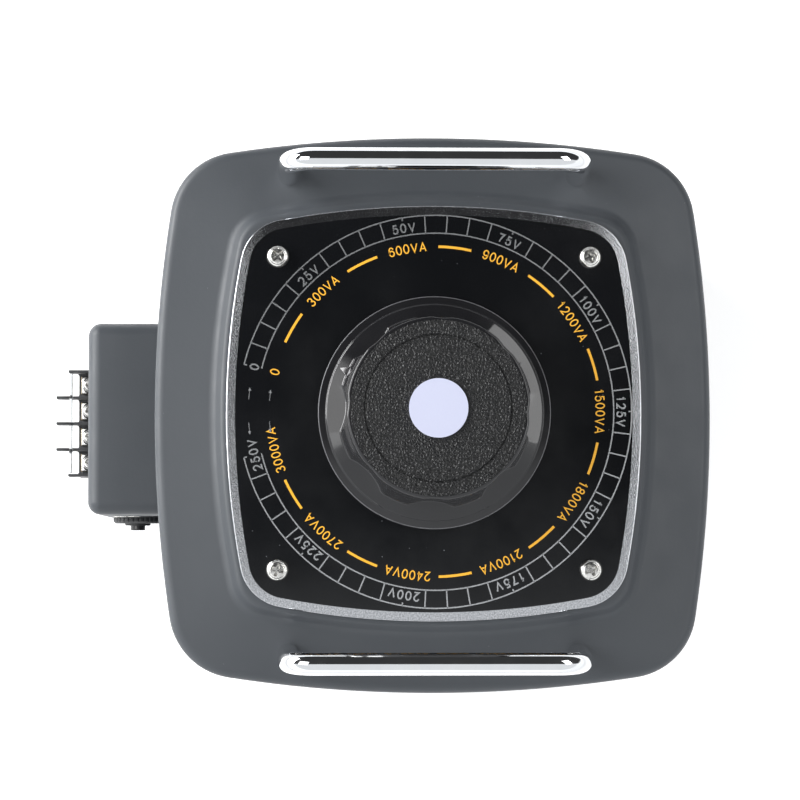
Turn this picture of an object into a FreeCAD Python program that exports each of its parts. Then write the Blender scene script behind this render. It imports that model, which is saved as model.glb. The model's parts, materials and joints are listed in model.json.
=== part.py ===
import FreeCAD, Part
import math
import os
from FreeCAD import Placement, Rotation, Vector

# Variable autotransformer, 3 kVA class, in millimetres. +Z is up, the terminals face -Y, +X is to the
# right of someone facing the terminals. Everything is drawn about the knob axis and moved back by
# AXIS_Y when it is saved, so that the origin ends up under the middle of the whole object.

# Case outline: four gently bowed sides with round corners, (half x, half y, side radius, corner radius)
CASE = (101.3, 101.3, 490.0, 25.5)
PLATEAU = (76.6, 76.6, 300.0, 11.5)
DIAL = (75.2, 75.2, 300.0, 17.5)
STEP_OUT = 3.3

# Heights
FOOT_H = 10.0
TRAY_FLOOR = 1.5
TRAY_TOP = 34.0
SHELL_BOTTOM = 13.0
COVER_BOTTOM = 140.0
SHELL_TOP = 150.0
RIM_Z = 182.4
STEP_Z = 184.0
PLATEAU_Z = 188.5
DIAL_T = 1.5
DIAL_EDGE_R = 0.5
DIAL_SCREW = 56.6
DIAL_TOP = PLATEAU_Z + DIAL_T

# Sheet metal
COVER_SHEET = 1.2
SHELL_SHEET = 1.0
SHELL_INSET = COVER_SHEET + 0.2
TRAY_INSET = SHELL_INSET + SHELL_SHEET + 0.2
TRAY_SHEET = 1.2
EDGE_R = 3.5

# Toroid: core, insulating caps and winding, standing on pads on the tray floor
FLOOR_Z = FOOT_H + TRAY_FLOOR
PAD_T = 4.0
CORE_IN = 45.0
CORE_OUT = 74.0
CORE_H = 92.0
CAP_T = 1.2
CAP_SKIRT = 0.8
WIRE = 1.8
INNER_WIRE = 2.8
WIND_BOTTOM = FLOOR_Z + PAD_T
CORE_BOTTOM = WIND_BOTTOM + WIRE + CAP_T
CORE_TOP = CORE_BOTTOM + CORE_H
WIND_TOP = CORE_TOP + CAP_T + WIRE
CAP_IN = CORE_IN - CAP_SKIRT
CAP_OUT = CORE_OUT + CAP_SKIRT
WIND_IN = CAP_IN - INNER_WIRE
WIND_OUT = CAP_OUT + WIRE

# Travel of the pointer: 250 V to 0 V either side of the front (270 degrees)
FRONT = 270.0
GAP_HALF = 13.7
POINTER = 245.0

# Spindle
SHAFT_R = 6.0
BUSH_R = 10.0
BUSH_L = 16.0
RUNNING = 0.05
COLUMN_R = 18.0
FLANGE_R = 40.0
FLANGE_T = 8.0
COLUMN_TOP = WIND_TOP + BUSH_L
BUSH_FLANGE_T = 1.5
CLAMP_R = 55.0
CLAMP_T = 8.0
CLAMP_TOP = WIND_TOP + CLAMP_T
SHAFT_BOTTOM = FLOOR_Z + 2.0
SHAFT_TOP = 212.0

# Rotor: heights stacked on the upper bush
WASHER_Z = COLUMN_TOP + BUSH_FLANGE_T + 0.3
HUB_Z = WASHER_Z + 1.0
HUB_R = 18.0
HUB_H = 21.0
SLIP_R = 23.0
SLIP_H = 7.0
ARM_Z = HUB_Z + 0.2 + SLIP_H
ARM_T = 5.0
ARM_W = 30.0
FIN_H = 14.0
BRUSH_R = 66.0
STOP_R = 51.4
STOP_POST_R = 3.0
STOP_LUG_HALF = 8.2

# Knob
KNOB_Z = DIAL_TOP + 1.0
KNOB_TOP = 229.0
FLANGE_KNOB_R = 42.0
SKIRT_R = 39.2
GRIP_Z = 196.5
GRIP_LOW_R = 34.2
GRIP_TOP_R = 32.2
VALLEY_R = 31.7
LOBES = 8
SCALLOP_R = 20.0
KNOB_HUB_R = 13.0
INSERT_R = 9.0
RECESS_Z = 219.0
RECESS_R = 8.0
LABEL_R = 10.4
LABEL_T = 0.35

# Handles: bars along Y, legs leaning out, square to the sloping shoulder
HANDLE_R = 4.1
HANDLE_LEG_Y = 52.4
HANDLE_FOOT = (87.1, 183.0)
HANDLE_LEAN = 6.0
HANDLE_RISE = 26.0
HANDLE_BEND = 9.0
STUD_R = 3.0

# Terminal box
BOX_X = (-35.4, 36.1)
BOX_FRONT = -127.6
BOX_Z = (42.0, 150.0)
BOX_SHEET = 1.5
BOX_EDGE = 4.8
TAB_T = 1.5
TAB_W = 10.0
TAB_SCREW_Z = (61.0, 125.0)
WINDOW_X = (-22.0, 24.0)
WINDOW_Z = (55.0, 135.0)

# Terminal block
BLOCK_X = -0.7
PITCH = 10.2
WALL = 1.1
SHELF_Z = 75.0
BLOCK_Z = 58.0
SHELF_FRONT = -135.9
END_FRONT = -139.5
FIN_FRONT = -144.3
FIN_TOP = 82.5
FIN_LOW = 73.5
END_RISE = 1.2
GUARD_T = 1.1
GUARD_Z = (78.5, 84.5)
GUARD_PLAY = 0.12
TERMINAL_Y = -131.4
PLATE_T = 1.0
PLATE_BACK = -118.0

# Breaker, on the right side of the box
BREAKER_Y = -111.0
BREAKER_Z = 105.0

# Common screw sizes: thread radius, head radius, head height
M3 = (1.5, 2.8, 1.8)
M4 = (2.0, 4.0, 2.4)
M4_LOW = (2.0, 3.6, 1.3)
M5 = (2.5, 4.6, 3.0)
M6 = (3.0, 5.5, 4.0)

LEAD_R = 1.3
AXIS_Y = -(FIN_FRONT + CASE[1]) / 2


# Shape helpers

def cylinder(radius, z_low, z_high, x=0.0, y=0.0):
    return Part.makeCylinder(radius, z_high - z_low, Vector(x, y, z_low))


def ring(outer, inner, z_low, z_high, x=0.0, y=0.0):
    return cylinder(outer, z_low, z_high, x, y).cut(cylinder(inner, z_low - 1, z_high + 1, x, y))


def block(x, y, z):
    size = [side[1] - side[0] for side in (x, y, z)]
    return Part.makeBox(*size, Vector(x[0], y[0], z[0]))


def fused(shapes):
    return shapes[0].multiFuse(shapes[1:]).removeSplitter()


def group(shapes):
    return Part.makeCompound(shapes)


def revolved(points, start=0.0, sweep=360.0):
    """Closed (radius, height) polygon turned about the Z axis."""
    corners = [Vector(radius, 0, height) for radius, height in points]
    face = Part.Face(Part.makePolygon(corners + corners[:1]))
    return spun(face.revolve(Vector(0, 0, 0), Vector(0, 0, 1), sweep), start)


def spun(shape, degrees):
    """A copy turned about the Z axis."""
    turned = shape.copy()
    turned.rotate(Vector(0, 0, 0), Vector(0, 0, 1), degrees)
    return turned


def aimed(shape, position, direction):
    """A copy moved so that its origin is at position and its +Z points along direction."""
    moved = shape.copy()
    moved.Placement = Placement(position, Rotation(Vector(0, 0, 1), direction))
    return moved


def corners_of(x, y):
    return [(sx * x, sy * y) for sx in (-1, 1) for sy in (-1, 1)]


def polar(radius, degrees, z=0.0):
    angle = math.radians(degrees)
    return Vector(radius * math.cos(angle), radius * math.sin(angle), z)


def top_edges(shape, z):
    return [edge for edge in shape.Edges if edge.BoundBox.ZMin > z - 0.01]


# Bowed outlines of the case and the dial

def grown(outline, by):
    return tuple(value + by for value in outline)


def outline_wire(outline, z):
    half_x, half_y, side_r, corner_r = outline
    right_centre = Vector(half_x - side_r, 0, z)
    back_centre = Vector(0, half_y - side_r, z)
    between = back_centre - right_centre
    reach = side_r - corner_r
    rise = math.sqrt(reach ** 2 - (between.Length / 2) ** 2)
    across = Vector(-between.y, between.x, 0).normalize()
    if across.x < 0:
        across = -across
    corner = (right_centre + back_centre) / 2 + across * rise
    side_end = right_centre + (corner - right_centre).normalize() * side_r
    back_end = back_centre + (corner - back_centre).normalize() * side_r
    middle = corner + ((side_end - corner) + (back_end - corner)).normalize() * corner_r

    def at(point, sx, sy):
        return Vector(sx * point.x, sy * point.y, z)

    right = Vector(half_x, 0, z)
    back = Vector(0, half_y, z)
    stations = [
        at(side_end, 1, -1), right, at(side_end, 1, 1), at(middle, 1, 1),
        at(back_end, 1, 1), back, at(back_end, -1, 1), at(middle, -1, 1),
        at(side_end, -1, 1), at(right, -1, 1), at(side_end, -1, -1), at(middle, -1, -1),
        at(back_end, -1, -1), at(back, 1, -1), at(back_end, 1, -1), at(middle, 1, -1),
    ]
    stations.append(stations[0])
    arcs = [Part.Arc(*stations[i:i + 3]).toShape() for i in range(0, 16, 2)]
    return Part.Wire(arcs)


def prism(outline, z_low, z_high):
    return Part.Face(outline_wire(outline, z_low)).extrude(Vector(0, 0, z_high - z_low))


def on_side(facing, swing, inset, z):
    """Point on the case's side that faces an angle, swung along it, and the outward normal there."""
    half = CASE[0] if facing in (0, 180) else CASE[1]
    normal = polar(1, facing + swing)
    centre = polar(half - CASE[2], facing)
    return centre + normal * (CASE[2] - inset) + Vector(0, 0, z), normal


# Bent rods and leads

def bent_path(points, bend=None):
    """Straight runs joined by tangent arcs. Without a bend radius each arc is as large as fits."""
    edges = []
    radii = []
    start = points[0]
    for before, corner, after in zip(points, points[1:], points[2:]):
        back = before - corner
        ahead = after - corner
        half_turn = (math.pi - back.getAngle(ahead)) / 2
        if bend is None:
            reach = 0.45 * min(back.Length, ahead.Length)
        else:
            reach = bend * math.tan(half_turn)
        radius = reach / math.tan(half_turn)
        radii.append(radius)
        back.normalize()
        ahead.normalize()
        arc_start = corner + back * reach
        arc_end = corner + ahead * reach
        inward = (back + ahead).normalize()
        arc_middle = corner + inward * (radius / math.cos(half_turn) - radius)
        edges.append(Part.LineSegment(start, arc_start).toShape())
        edges.append(Part.Arc(arc_start, arc_middle, arc_end).toShape())
        start = arc_end
    edges.append(Part.LineSegment(start, points[-1]).toShape())
    return Part.Wire(edges), radii


def tube(name, points, radius, bend=None):
    """Round bar along a bent path. Prints its bend radii and how its volume compares."""
    path, radii = bent_path(points, bend)
    section = Part.Wire(Part.makeCircle(radius, points[0], points[1] - points[0]))
    bar = path.makePipeShell([section], True, False)
    expected = math.pi * radius ** 2 * path.Length
    listed = ", ".join(f"{value:.1f}" for value in radii)
    print(f"{name}: bend radii {listed}; volume over section times length {bar.Volume / expected:.4f}")
    return bar


def coil_spring(mean_r, wire_r, z_low, z_high, turns):
    """Sweeps an eight-sided wire section, square to the slope, along a helix that stands on z_low."""
    pitch = (z_high - z_low - 2 * wire_r) / turns
    helix = Part.Wire(Part.makeHelix(pitch, pitch * turns, mean_r))
    outward = Vector(1, 0, 0)
    along = Vector(0, 2 * math.pi * mean_r, pitch).normalize()
    upward = outward.cross(along)
    sides = 8
    corners = []
    for step in range(sides + 1):
        turn = 2 * math.pi * step / sides
        corners.append(outward * (mean_r + wire_r * math.cos(turn)) + upward * (wire_r * math.sin(turn)))
    spring = helix.makePipeShell([Part.makePolygon(corners)], True, True)
    spring.translate(Vector(0, 0, z_low + wire_r))
    return spring


# Fasteners, drawn with the underside of the head at the origin and the head above it

def pan_screw(size, length):
    thread_r, head_r, head_h = size
    head = cylinder(head_r, 0, head_h)
    head = head.makeFillet(head_h * 0.55, top_edges(head, head_h))
    arm = head_r * 0.62
    slot = head_r * 0.13
    depth = (head_h * 0.4, head_h + 1)
    cross = fused([block((-arm, arm), (-slot, slot), depth), block((-slot, slot), (-arm, arm), depth)])
    return head.fuse(cylinder(thread_r, -length, 0.2)).removeSplitter().cut(cross)


def hex_nut(across, thread_r, height):
    corners = [polar(across / math.sqrt(3), 60 * i + 30) for i in range(6)]
    face = Part.Face(Part.makePolygon(corners + corners[:1]))
    return face.extrude(Vector(0, 0, height)).cut(cylinder(thread_r, -1, height + 1))


def placed_screws(size, length, places):
    return group([aimed(pan_screw(size, length), where, normal) for where, normal in places])


# Fixing places shared by screws, nuts and holes: surface point and outward normal

CASE_SCREW_L = 8.0


def cover_places():
    return [on_side(facing, swing, 0, 145.0) for facing in (0, 180) for swing in (-6, 6)]


def shell_places():
    return [on_side(facing, swing, SHELL_INSET, 24.0) for facing in (0, 180) for swing in (-6, 6)]


def box_places():
    """Screws that hold the terminal box, put in from inside the shell, heads inwards."""
    inner = SHELL_INSET + SHELL_SHEET + 0.05
    places = []
    for z in TAB_SCREW_Z:
        for x in (BOX_X[0] + TAB_W / 2 + 1, BOX_X[1] - TAB_W / 2 - 1):
            swing = math.degrees(math.asin(x / CASE[2]))
            where, normal = on_side(FRONT, swing, inner, z)
            places.append((where, -normal))
    return places


def dial_places():
    return [(Vector(x, y, DIAL_TOP), Vector(0, 0, 1)) for x, y in corners_of(DIAL_SCREW, DIAL_SCREW)]


def drilled(shape, places, radius, depth=12.0):
    """Round holes through a wall at each place, running both ways from it."""
    tools = []
    for where, normal in places:
        drill = cylinder(radius, -depth, depth)
        tools.append(aimed(drill, where, normal))
    return shape.cut(group(tools))


# Case

def base_tray():
    outer = prism(grown(CASE, -TRAY_INSET), FOOT_H, TRAY_TOP)
    low = [edge for edge in outer.Edges if edge.BoundBox.ZMax < FOOT_H + 0.01]
    outer = outer.makeFillet(EDGE_R, low)
    inner = prism(grown(CASE, -TRAY_INSET - TRAY_SHEET), FLOOR_Z, TRAY_TOP + 1)
    low = [edge for edge in inner.Edges if edge.BoundBox.ZMax < FLOOR_Z + 0.01]
    tray = outer.cut(inner.makeFillet(EDGE_R - TRAY_SHEET, low))
    holes = [cylinder(M5[0], FOOT_H - 1, FLOOR_Z + 1, x, y) for x, y in corners_of(*FOOT_XY)]
    holes += [cylinder(M6[0], FOOT_H - 1, FLOOR_Z + 1, x, y) for x, y in column_screw_xy()]
    tray = tray.cut(group(holes + floor_vents()))
    return drilled(tray, shell_places(), M4[0])


def floor_vents():
    """Round-ended slots in the floor, spread round the circle between the coil pads."""
    vents = []
    for i in range(PAD_COUNT):
        slot = fused([
            block((56, 72), (-3, 3), (FOOT_H - 1, FLOOR_Z + 1)),
            cylinder(3, FOOT_H - 1, FLOOR_Z + 1, 56),
            cylinder(3, FOOT_H - 1, FLOOR_Z + 1, 72),
        ])
        vents.append(spun(slot, 360 * (i + 0.5) / PAD_COUNT))
    return vents


FOOT_XY = (72.0, 70.0)
FOOT_RECESS = 6.0
FOOT_WEB_Z = 5.0


def rubber_feet():
    foot = revolved([(0, 0), (10, 0), (11, 1), (12, FOOT_H), (0, FOOT_H)])
    foot = foot.cut(cylinder(FOOT_RECESS, -1, FOOT_WEB_Z))
    foot = foot.cut(cylinder(M5[0], 0, FOOT_H + 1))
    return group([foot.translated(Vector(x, y, 0)) for x, y in corners_of(*FOOT_XY)])


def foot_screws():
    down = Vector(0, 0, -1)
    places = [(Vector(x, y, FOOT_WEB_Z), down) for x, y in corners_of(*FOOT_XY)]
    return placed_screws(M5, 10.0, places)


SLOT_W = 5.0
SLOT_PITCH = 11.0
SLOT_Z = (52.0, 126.0)


def cooling_slots():
    """Upright round-ended slots on the right, back and left sides."""
    slots = []
    depth = (85.0, 110.0)
    for facing in (0, 90, 180):
        for i in range(-5, 6):
            y = i * SLOT_PITCH
            body = block(depth, (y - SLOT_W / 2, y + SLOT_W / 2), SLOT_Z)
            ends = [
                Part.makeCylinder(SLOT_W / 2, depth[1] - depth[0], Vector(depth[0], y, z), Vector(1, 0, 0))
                for z in SLOT_Z
            ]
            slots.append(spun(fused([body] + ends), facing))
    return slots


def side_shell():
    outer = grown(CASE, -SHELL_INSET)
    inner = grown(outer, -SHELL_SHEET)
    shell = prism(outer, SHELL_BOTTOM, SHELL_TOP).cut(prism(inner, SHELL_BOTTOM - 1, SHELL_TOP + 1))
    window = block(WINDOW_X, (-110, -90), WINDOW_Z)
    shell = shell.cut(group(cooling_slots() + [window]))
    shell = drilled(shell, cover_places() + shell_places() + box_places(), M4[0])
    return drilled(shell, [earth_place()], M5[0])


def cover_form(sheet):
    """The cover as a filled block: its outside for sheet 0, its inside for the sheet's thickness."""
    skirt = prism(grown(CASE, -sheet), COVER_BOTTOM - 2 * sheet, RIM_Z - sheet)
    skirt = skirt.makeFillet(EDGE_R - sheet, top_edges(skirt, RIM_Z - sheet))
    shoulder = Part.makeLoft([
        outline_wire(grown(CASE, -EDGE_R), RIM_Z - sheet),
        outline_wire(grown(PLATEAU, STEP_OUT - sheet / 2), STEP_Z - sheet),
        outline_wire(grown(PLATEAU, -sheet), PLATEAU_Z - sheet),
    ], True, True)
    return skirt.fuse(shoulder)


COVER_HOLE_R = 13.0


def top_cover():
    cover = cover_form(0).cut(cover_form(COVER_SHEET))
    cover = cover.cut(cylinder(COVER_HOLE_R, PLATEAU_Z - 5, PLATEAU_Z + 1))
    cover = drilled(cover, dial_places() + cover_places(), M4[0], 10.0)
    studs = [handle_pose(cylinder(STUD_R, -10, 5, 0, y), side) for side in (0, 180)
             for y in (-HANDLE_LEG_Y, HANDLE_LEG_Y)]
    return cover.cut(group(studs))


def case_screws():
    """Low-headed screws for the cover, and pan-headed ones for the shell and the terminal box."""
    low = placed_screws(M4_LOW, CASE_SCREW_L, cover_places())
    return group([low, placed_screws(M4, CASE_SCREW_L, shell_places() + box_places())])


def clinch_nuts():
    """Nuts pressed into the inner sheet of every case screw and dial screw."""
    grips = [
        (cover_places(), SHELL_INSET + SHELL_SHEET),
        (shell_places(), TRAY_INSET - SHELL_INSET + TRAY_SHEET),
        (box_places(), SHELL_SHEET + TAB_T),
        (dial_places(), DIAL_T + COVER_SHEET),
    ]
    nuts = []
    for places, grip in grips:
        nut = ring(4.2, M4[0], -grip - 3.6, -grip - 0.1)
        nuts += [aimed(nut, where, normal) for where, normal in places]
    return group(nuts)


def earth_place():
    return on_side(FRONT, -7.0, SHELL_INSET, 46.0)


def earth_screw():
    where, normal = earth_place()
    screw = pan_screw(M5, 12.0).translated(Vector(0, 0, 1.2))
    washer = ring(6.0, M5[0] - 0.5, 0.05, 1.2)
    return aimed(screw.fuse(washer).removeSplitter(), where, normal)


# Dial and handles

def dial_plate():
    plate = prism(DIAL, PLATEAU_Z, DIAL_TOP)
    plate = plate.makeFillet(DIAL_EDGE_R, top_edges(plate, DIAL_TOP))
    plate = plate.cut(cylinder(COVER_HOLE_R, PLATEAU_Z - 1, DIAL_TOP + 1))
    return drilled(plate, dial_places(), M4[0], 5.0)


def dial_screws():
    return placed_screws(M4, 9.0, dial_places())


def cover_bush():
    body = ring(COVER_HOLE_R, SHAFT_R + RUNNING, PLATEAU_Z - COVER_SHEET, DIAL_TOP)
    flange = ring(18.0, SHAFT_R + RUNNING, PLATEAU_Z - COVER_SHEET - 2.5, PLATEAU_Z - COVER_SHEET)
    return body.fuse(flange).removeSplitter()


def handle_pose(shape, side):
    """Stands a shape drawn on the plane x = 0 on the right shoulder, leaning out, or on the left."""
    leaned = shape.copy()
    leaned.rotate(Vector(0, 0, 0), Vector(0, 1, 0), HANDLE_LEAN)
    leaned.translate(Vector(HANDLE_FOOT[0], 0, HANDLE_FOOT[1]))
    return spun(leaned, side)


def handle(side):
    leg_y = HANDLE_LEG_Y
    points = [Vector(0, -leg_y, -1), Vector(0, -leg_y, HANDLE_RISE),
              Vector(0, leg_y, HANDLE_RISE), Vector(0, leg_y, -1)]
    bar = tube("handle", points, HANDLE_R, HANDLE_BEND)
    bar = handle_pose(bar, side).cut(cover_form(0))
    studs = [handle_pose(cylinder(STUD_R, -9.5, 2, 0, y), side) for y in (-leg_y, leg_y)]
    return fused([bar] + studs)


def handle_nuts():
    nut = fused([hex_nut(10.0, STUD_R, 5.0), ring(7.0, STUD_R, 4.0, 5.2)])
    low = -COVER_SHEET - 0.2 - 5.2
    nuts = [handle_pose(nut.translated(Vector(0, y, low)), side)
            for side in (0, 180) for y in (-HANDLE_LEG_Y, HANDLE_LEG_Y)]
    return group(nuts)


# Terminal box, block and breaker

def box_form(inset):
    x = (BOX_X[0] + inset, BOX_X[1] - inset)
    z = (BOX_Z[0] + inset, BOX_Z[1] - inset)
    form = block(x, (BOX_FRONT + inset, -80), z)
    front = [
        edge for edge in form.Edges
        if edge.BoundBox.YMax < -80.1 or (edge.BoundBox.ZMin > z[1] - 0.01 and edge.BoundBox.YLength > 1)
    ]
    return form.makeFillet(BOX_EDGE - inset, front)


def terminal_box():
    body_side = prism(grown(CASE, -SHELL_INSET), BOX_Z[0] - 1, COVER_BOTTOM - 0.3)
    cover_side = prism(grown(CASE, 0.2), COVER_BOTTOM - 0.3, BOX_Z[1] + 1)
    box = box_form(0).cut(box_form(BOX_SHEET)).cut(body_side).cut(cover_side)
    band = prism(grown(CASE, -SHELL_INSET + TAB_T), 50, 132)
    band = band.cut(prism(grown(CASE, -SHELL_INSET), 49, 133))
    tabs = []
    for z in TAB_SCREW_Z:
        for x in ((BOX_X[0] + 1, BOX_X[0] + 1 + TAB_W), (BOX_X[1] - 1 - TAB_W, BOX_X[1] - 1)):
            tabs.append(band.common(block(x, (-110, -90), (z - 6, z + 6))))
    box = fused([box] + tabs)
    window = block((BLOCK_X - PLUG_HALF, BLOCK_X + PLUG_HALF), (BOX_FRONT - 1, BOX_FRONT + 2), PLUG_Z)
    box = box.cut(group([window, breaker_hole()]))
    screw_ends = [cylinder_y(M3[0], BOX_FRONT - 1, BOX_FRONT + 2, x, BLOCK_SCREW_Z) for x in BLOCK_SCREW_X]
    return drilled(box, box_places(), M4[0]).cut(group(screw_ends))


def cylinder_y(radius, y_low, y_high, x, z):
    return Part.makeCylinder(radius, y_high - y_low, Vector(x, y_low, z), Vector(0, 1, 0))


def cylinder_x(radius, x_low, x_high, y=BREAKER_Y, z=BREAKER_Z):
    return Part.makeCylinder(radius, x_high - x_low, Vector(x_low, y, z), Vector(1, 0, 0))


BLOCK_SCREW_X = (BLOCK_X - 1.5 * PITCH, BLOCK_X + 1.5 * PITCH)
BLOCK_SCREW_Z = 61.5
PLUG_HALF = 1.5 * PITCH + 4
PLUG_Z = (66.0, 81.0)
CELLS = [BLOCK_X + PITCH * (i - 1.5) for i in range(4)]


def terminal_block():
    """Shelf and fins on the front of the box, with a plug that fills the window behind them."""
    half = 2 * PITCH + WALL / 2
    body = block((BLOCK_X - half, BLOCK_X + half), (SHELF_FRONT, BOX_FRONT), (BLOCK_Z, SHELF_Z))
    plug = block((BLOCK_X - PLUG_HALF, BLOCK_X + PLUG_HALF), (BOX_FRONT, BOX_FRONT + BOX_SHEET + 1), PLUG_Z)
    pieces = [body, plug]
    for i in range(5):
        x = BLOCK_X + PITCH * (i - 2)
        is_end = i in (0, 4)
        front = END_FRONT if is_end else FIN_FRONT
        top = FIN_TOP + END_RISE if is_end else FIN_TOP
        pieces.append(block((x - WALL / 2, x + WALL / 2), (front, BOX_FRONT), (FIN_LOW, top)))
    moulding = fused(pieces)
    tools = [terminal_plate(x) for x in CELLS] + [guard_slot()]
    tools += [cylinder(M4[0], SHELF_Z - 10, SHELF_Z + 1, x, TERMINAL_Y) for x in CELLS]
    tools += [cylinder_y(M3[0], BOX_FRONT - 8, BOX_FRONT + 1, x, BLOCK_SCREW_Z) for x in BLOCK_SCREW_X]
    return moulding.cut(group(tools))


def terminal_plate(x):
    return block((x - 3.4, x + 3.4), (SHELF_FRONT + 0.9, PLATE_BACK), (SHELF_Z, SHELF_Z + PLATE_T))


def terminal_plates():
    holes = [cylinder(M4[0], SHELF_Z - 1, SHELF_Z + 2, x, TERMINAL_Y) for x in CELLS]
    return group([terminal_plate(x).cut(hole) for x, hole in zip(CELLS, holes)])


WASHER_T = 0.8


def terminal_washers():
    z = (SHELF_Z + PLATE_T, SHELF_Z + PLATE_T + WASHER_T)
    washers = []
    for x in CELLS:
        square = block((x - 3.4, x + 3.4), (TERMINAL_Y - 3.4, TERMINAL_Y + 3.4), z)
        washers.append(square.cut(cylinder(M4[0], z[0] - 1, z[1] + 1, x, TERMINAL_Y)))
    return group(washers)


def terminal_screws():
    up = Vector(0, 0, 1)
    seat = SHELF_Z + PLATE_T + WASHER_T
    return placed_screws((M4[0], 3.3, 2.2), 10.5, [(Vector(x, TERMINAL_Y, seat), up) for x in CELLS])


def terminal_block_screws():
    seat = BOX_FRONT + BOX_SHEET
    places = [(Vector(x, seat, BLOCK_SCREW_Z), Vector(0, 1, 0)) for x in BLOCK_SCREW_X]
    return placed_screws(M3, 8.5, places)


def common_link():
    """Strap joining the two middle terminals, which are the common line."""
    z = (SHELF_Z + PLATE_T, SHELF_Z + PLATE_T + 0.8)
    return block((CELLS[1] - 3.0, CELLS[2] + 3.0), (-125.0, -119.5), z)


GUARD_HALF = 2 * PITCH - WALL / 2 - 0.3
GUARD_Y = (END_FRONT + 0.4, END_FRONT + 0.4 + GUARD_T)


def guard_slot():
    y = (GUARD_Y[0] - GUARD_PLAY, GUARD_Y[1] + GUARD_PLAY)
    return block((BLOCK_X - GUARD_HALF, BLOCK_X + GUARD_HALF), y, (GUARD_Z[0], FIN_TOP + 1))


def terminal_cover():
    """Clear strip standing on edge in front of the terminals, dropped into slots in the fins."""
    return block((BLOCK_X - GUARD_HALF, BLOCK_X + GUARD_HALF), GUARD_Y, GUARD_Z)


NECK_R = 4.9
BUTTON_R = 2.85
BREAKER_WASHER_T = 0.4
BREAKER_NUT_T = 2.4
BREAKER_NUT_R = 9.4
NUT_X = BOX_X[1] + BREAKER_WASHER_T
NECK_END = NUT_X + BREAKER_NUT_T + 0.8
BUTTON_END = NECK_END + 1.9
BREAKER_BACK = 8.0
BREAKER_FACE = BOX_X[1] - BOX_SHEET


def breaker_hole():
    return cylinder_x(NECK_R, BREAKER_FACE - 1, BOX_X[1] + 1)


def breaker_body():
    y = (BREAKER_Y - 8, BREAKER_Y + 8)
    body = block((BREAKER_BACK, BREAKER_FACE), y, (BREAKER_Z - 14, BREAKER_Z + 14))
    neck = cylinder_x(NECK_R, BREAKER_FACE, NECK_END)
    bore = cylinder_x(BUTTON_R + 0.25, BREAKER_FACE - 9, NECK_END + 1)
    return fused([body, neck]).cut(bore)


def breaker_washer():
    outer = cylinder_x(BREAKER_NUT_R + 0.1, BOX_X[1], NUT_X)
    return outer.cut(cylinder_x(NECK_R, BOX_X[1] - 1, NUT_X + 1))


def breaker_nut():
    nut = cylinder_x(BREAKER_NUT_R, NUT_X, NUT_X + BREAKER_NUT_T)
    outside = [edge for edge in nut.Edges if edge.BoundBox.XMin > NUT_X + BREAKER_NUT_T - 0.01]
    nut = nut.makeChamfer(0.8, outside).cut(cylinder_x(NECK_R, NUT_X - 1, NUT_X + 4))
    grooves = []
    for i in range(30):
        spot = polar(BREAKER_NUT_R + 0.15, 12 * i)
        grooves.append(cylinder_x(0.45, NUT_X - 1, NUT_X + 4, BREAKER_Y + spot.x, BREAKER_Z + spot.y))
    return nut.cut(group(grooves))


def breaker_tabs():
    z = (BREAKER_Z - 3.1, BREAKER_Z + 3.1)
    return group([block((-2.0, BREAKER_BACK), (y - 0.4, y + 0.4), z) for y in (BREAKER_Y - 4, BREAKER_Y + 4)])


def reset_button():
    button = cylinder_x(BUTTON_R, BREAKER_FACE - 6, BUTTON_END)
    outside = [edge for edge in button.Edges if edge.BoundBox.XMin > BUTTON_END - 0.01]
    return button.makeFillet(0.5, outside)


# Toroid

def toroid_core():
    return ring(CORE_OUT, CORE_IN, CORE_BOTTOM, CORE_TOP)


def core_cap(face_z, inward):
    """Channel that covers one end of the core and half of its walls."""
    middle = (CORE_BOTTOM + CORE_TOP) / 2
    outside = face_z - inward * CAP_T
    form = revolved([(CAP_IN, outside), (CAP_OUT, outside), (CAP_OUT, middle), (CAP_IN, middle)])
    return form.cut(toroid_core())


def winding():
    """The turns as one closed skin round the core and its caps, open at the front gap."""
    skin = [(WIND_IN, WIND_BOTTOM), (WIND_OUT, WIND_BOTTOM), (WIND_OUT, WIND_TOP), (WIND_IN, WIND_TOP)]
    turns = revolved(skin, FRONT + GAP_HALF, 360 - 2 * GAP_HALF)
    return turns.cut(ring(CAP_OUT, CAP_IN, WIND_BOTTOM + WIRE, WIND_TOP - WIRE))


PAD_COUNT = 12


def coil_pads():
    pad = block((48.0, 74.0), (-6.0, 6.0), (FLOOR_Z, WIND_BOTTOM))
    return group([spun(pad, 360 * i / PAD_COUNT) for i in range(PAD_COUNT)])


LUG_OUT = CAP_OUT + 4.0
LUG_NEUTRAL_Z = (64.0, 72.0)
LUG_LIVE_Z = (96.0, 104.0)


def coil_lugs():
    """Blocks at the two ends of the winding, in the gap, where the leads join it."""
    start = block((CAP_OUT + 0.05, LUG_OUT), (0.1, 5.1), LUG_NEUTRAL_Z)
    finish = block((CAP_OUT + 0.05, LUG_OUT), (-5.1, -0.1), LUG_LIVE_Z)
    return group([spun(start, FRONT - GAP_HALF), spun(finish, FRONT + GAP_HALF)])


# Spindle column and what it clamps

def column_screw_xy():
    return [(point.x, point.y) for point in (polar(31.0, 90 * i + 45) for i in range(4))]


POCKET_R = 12.0


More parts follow.
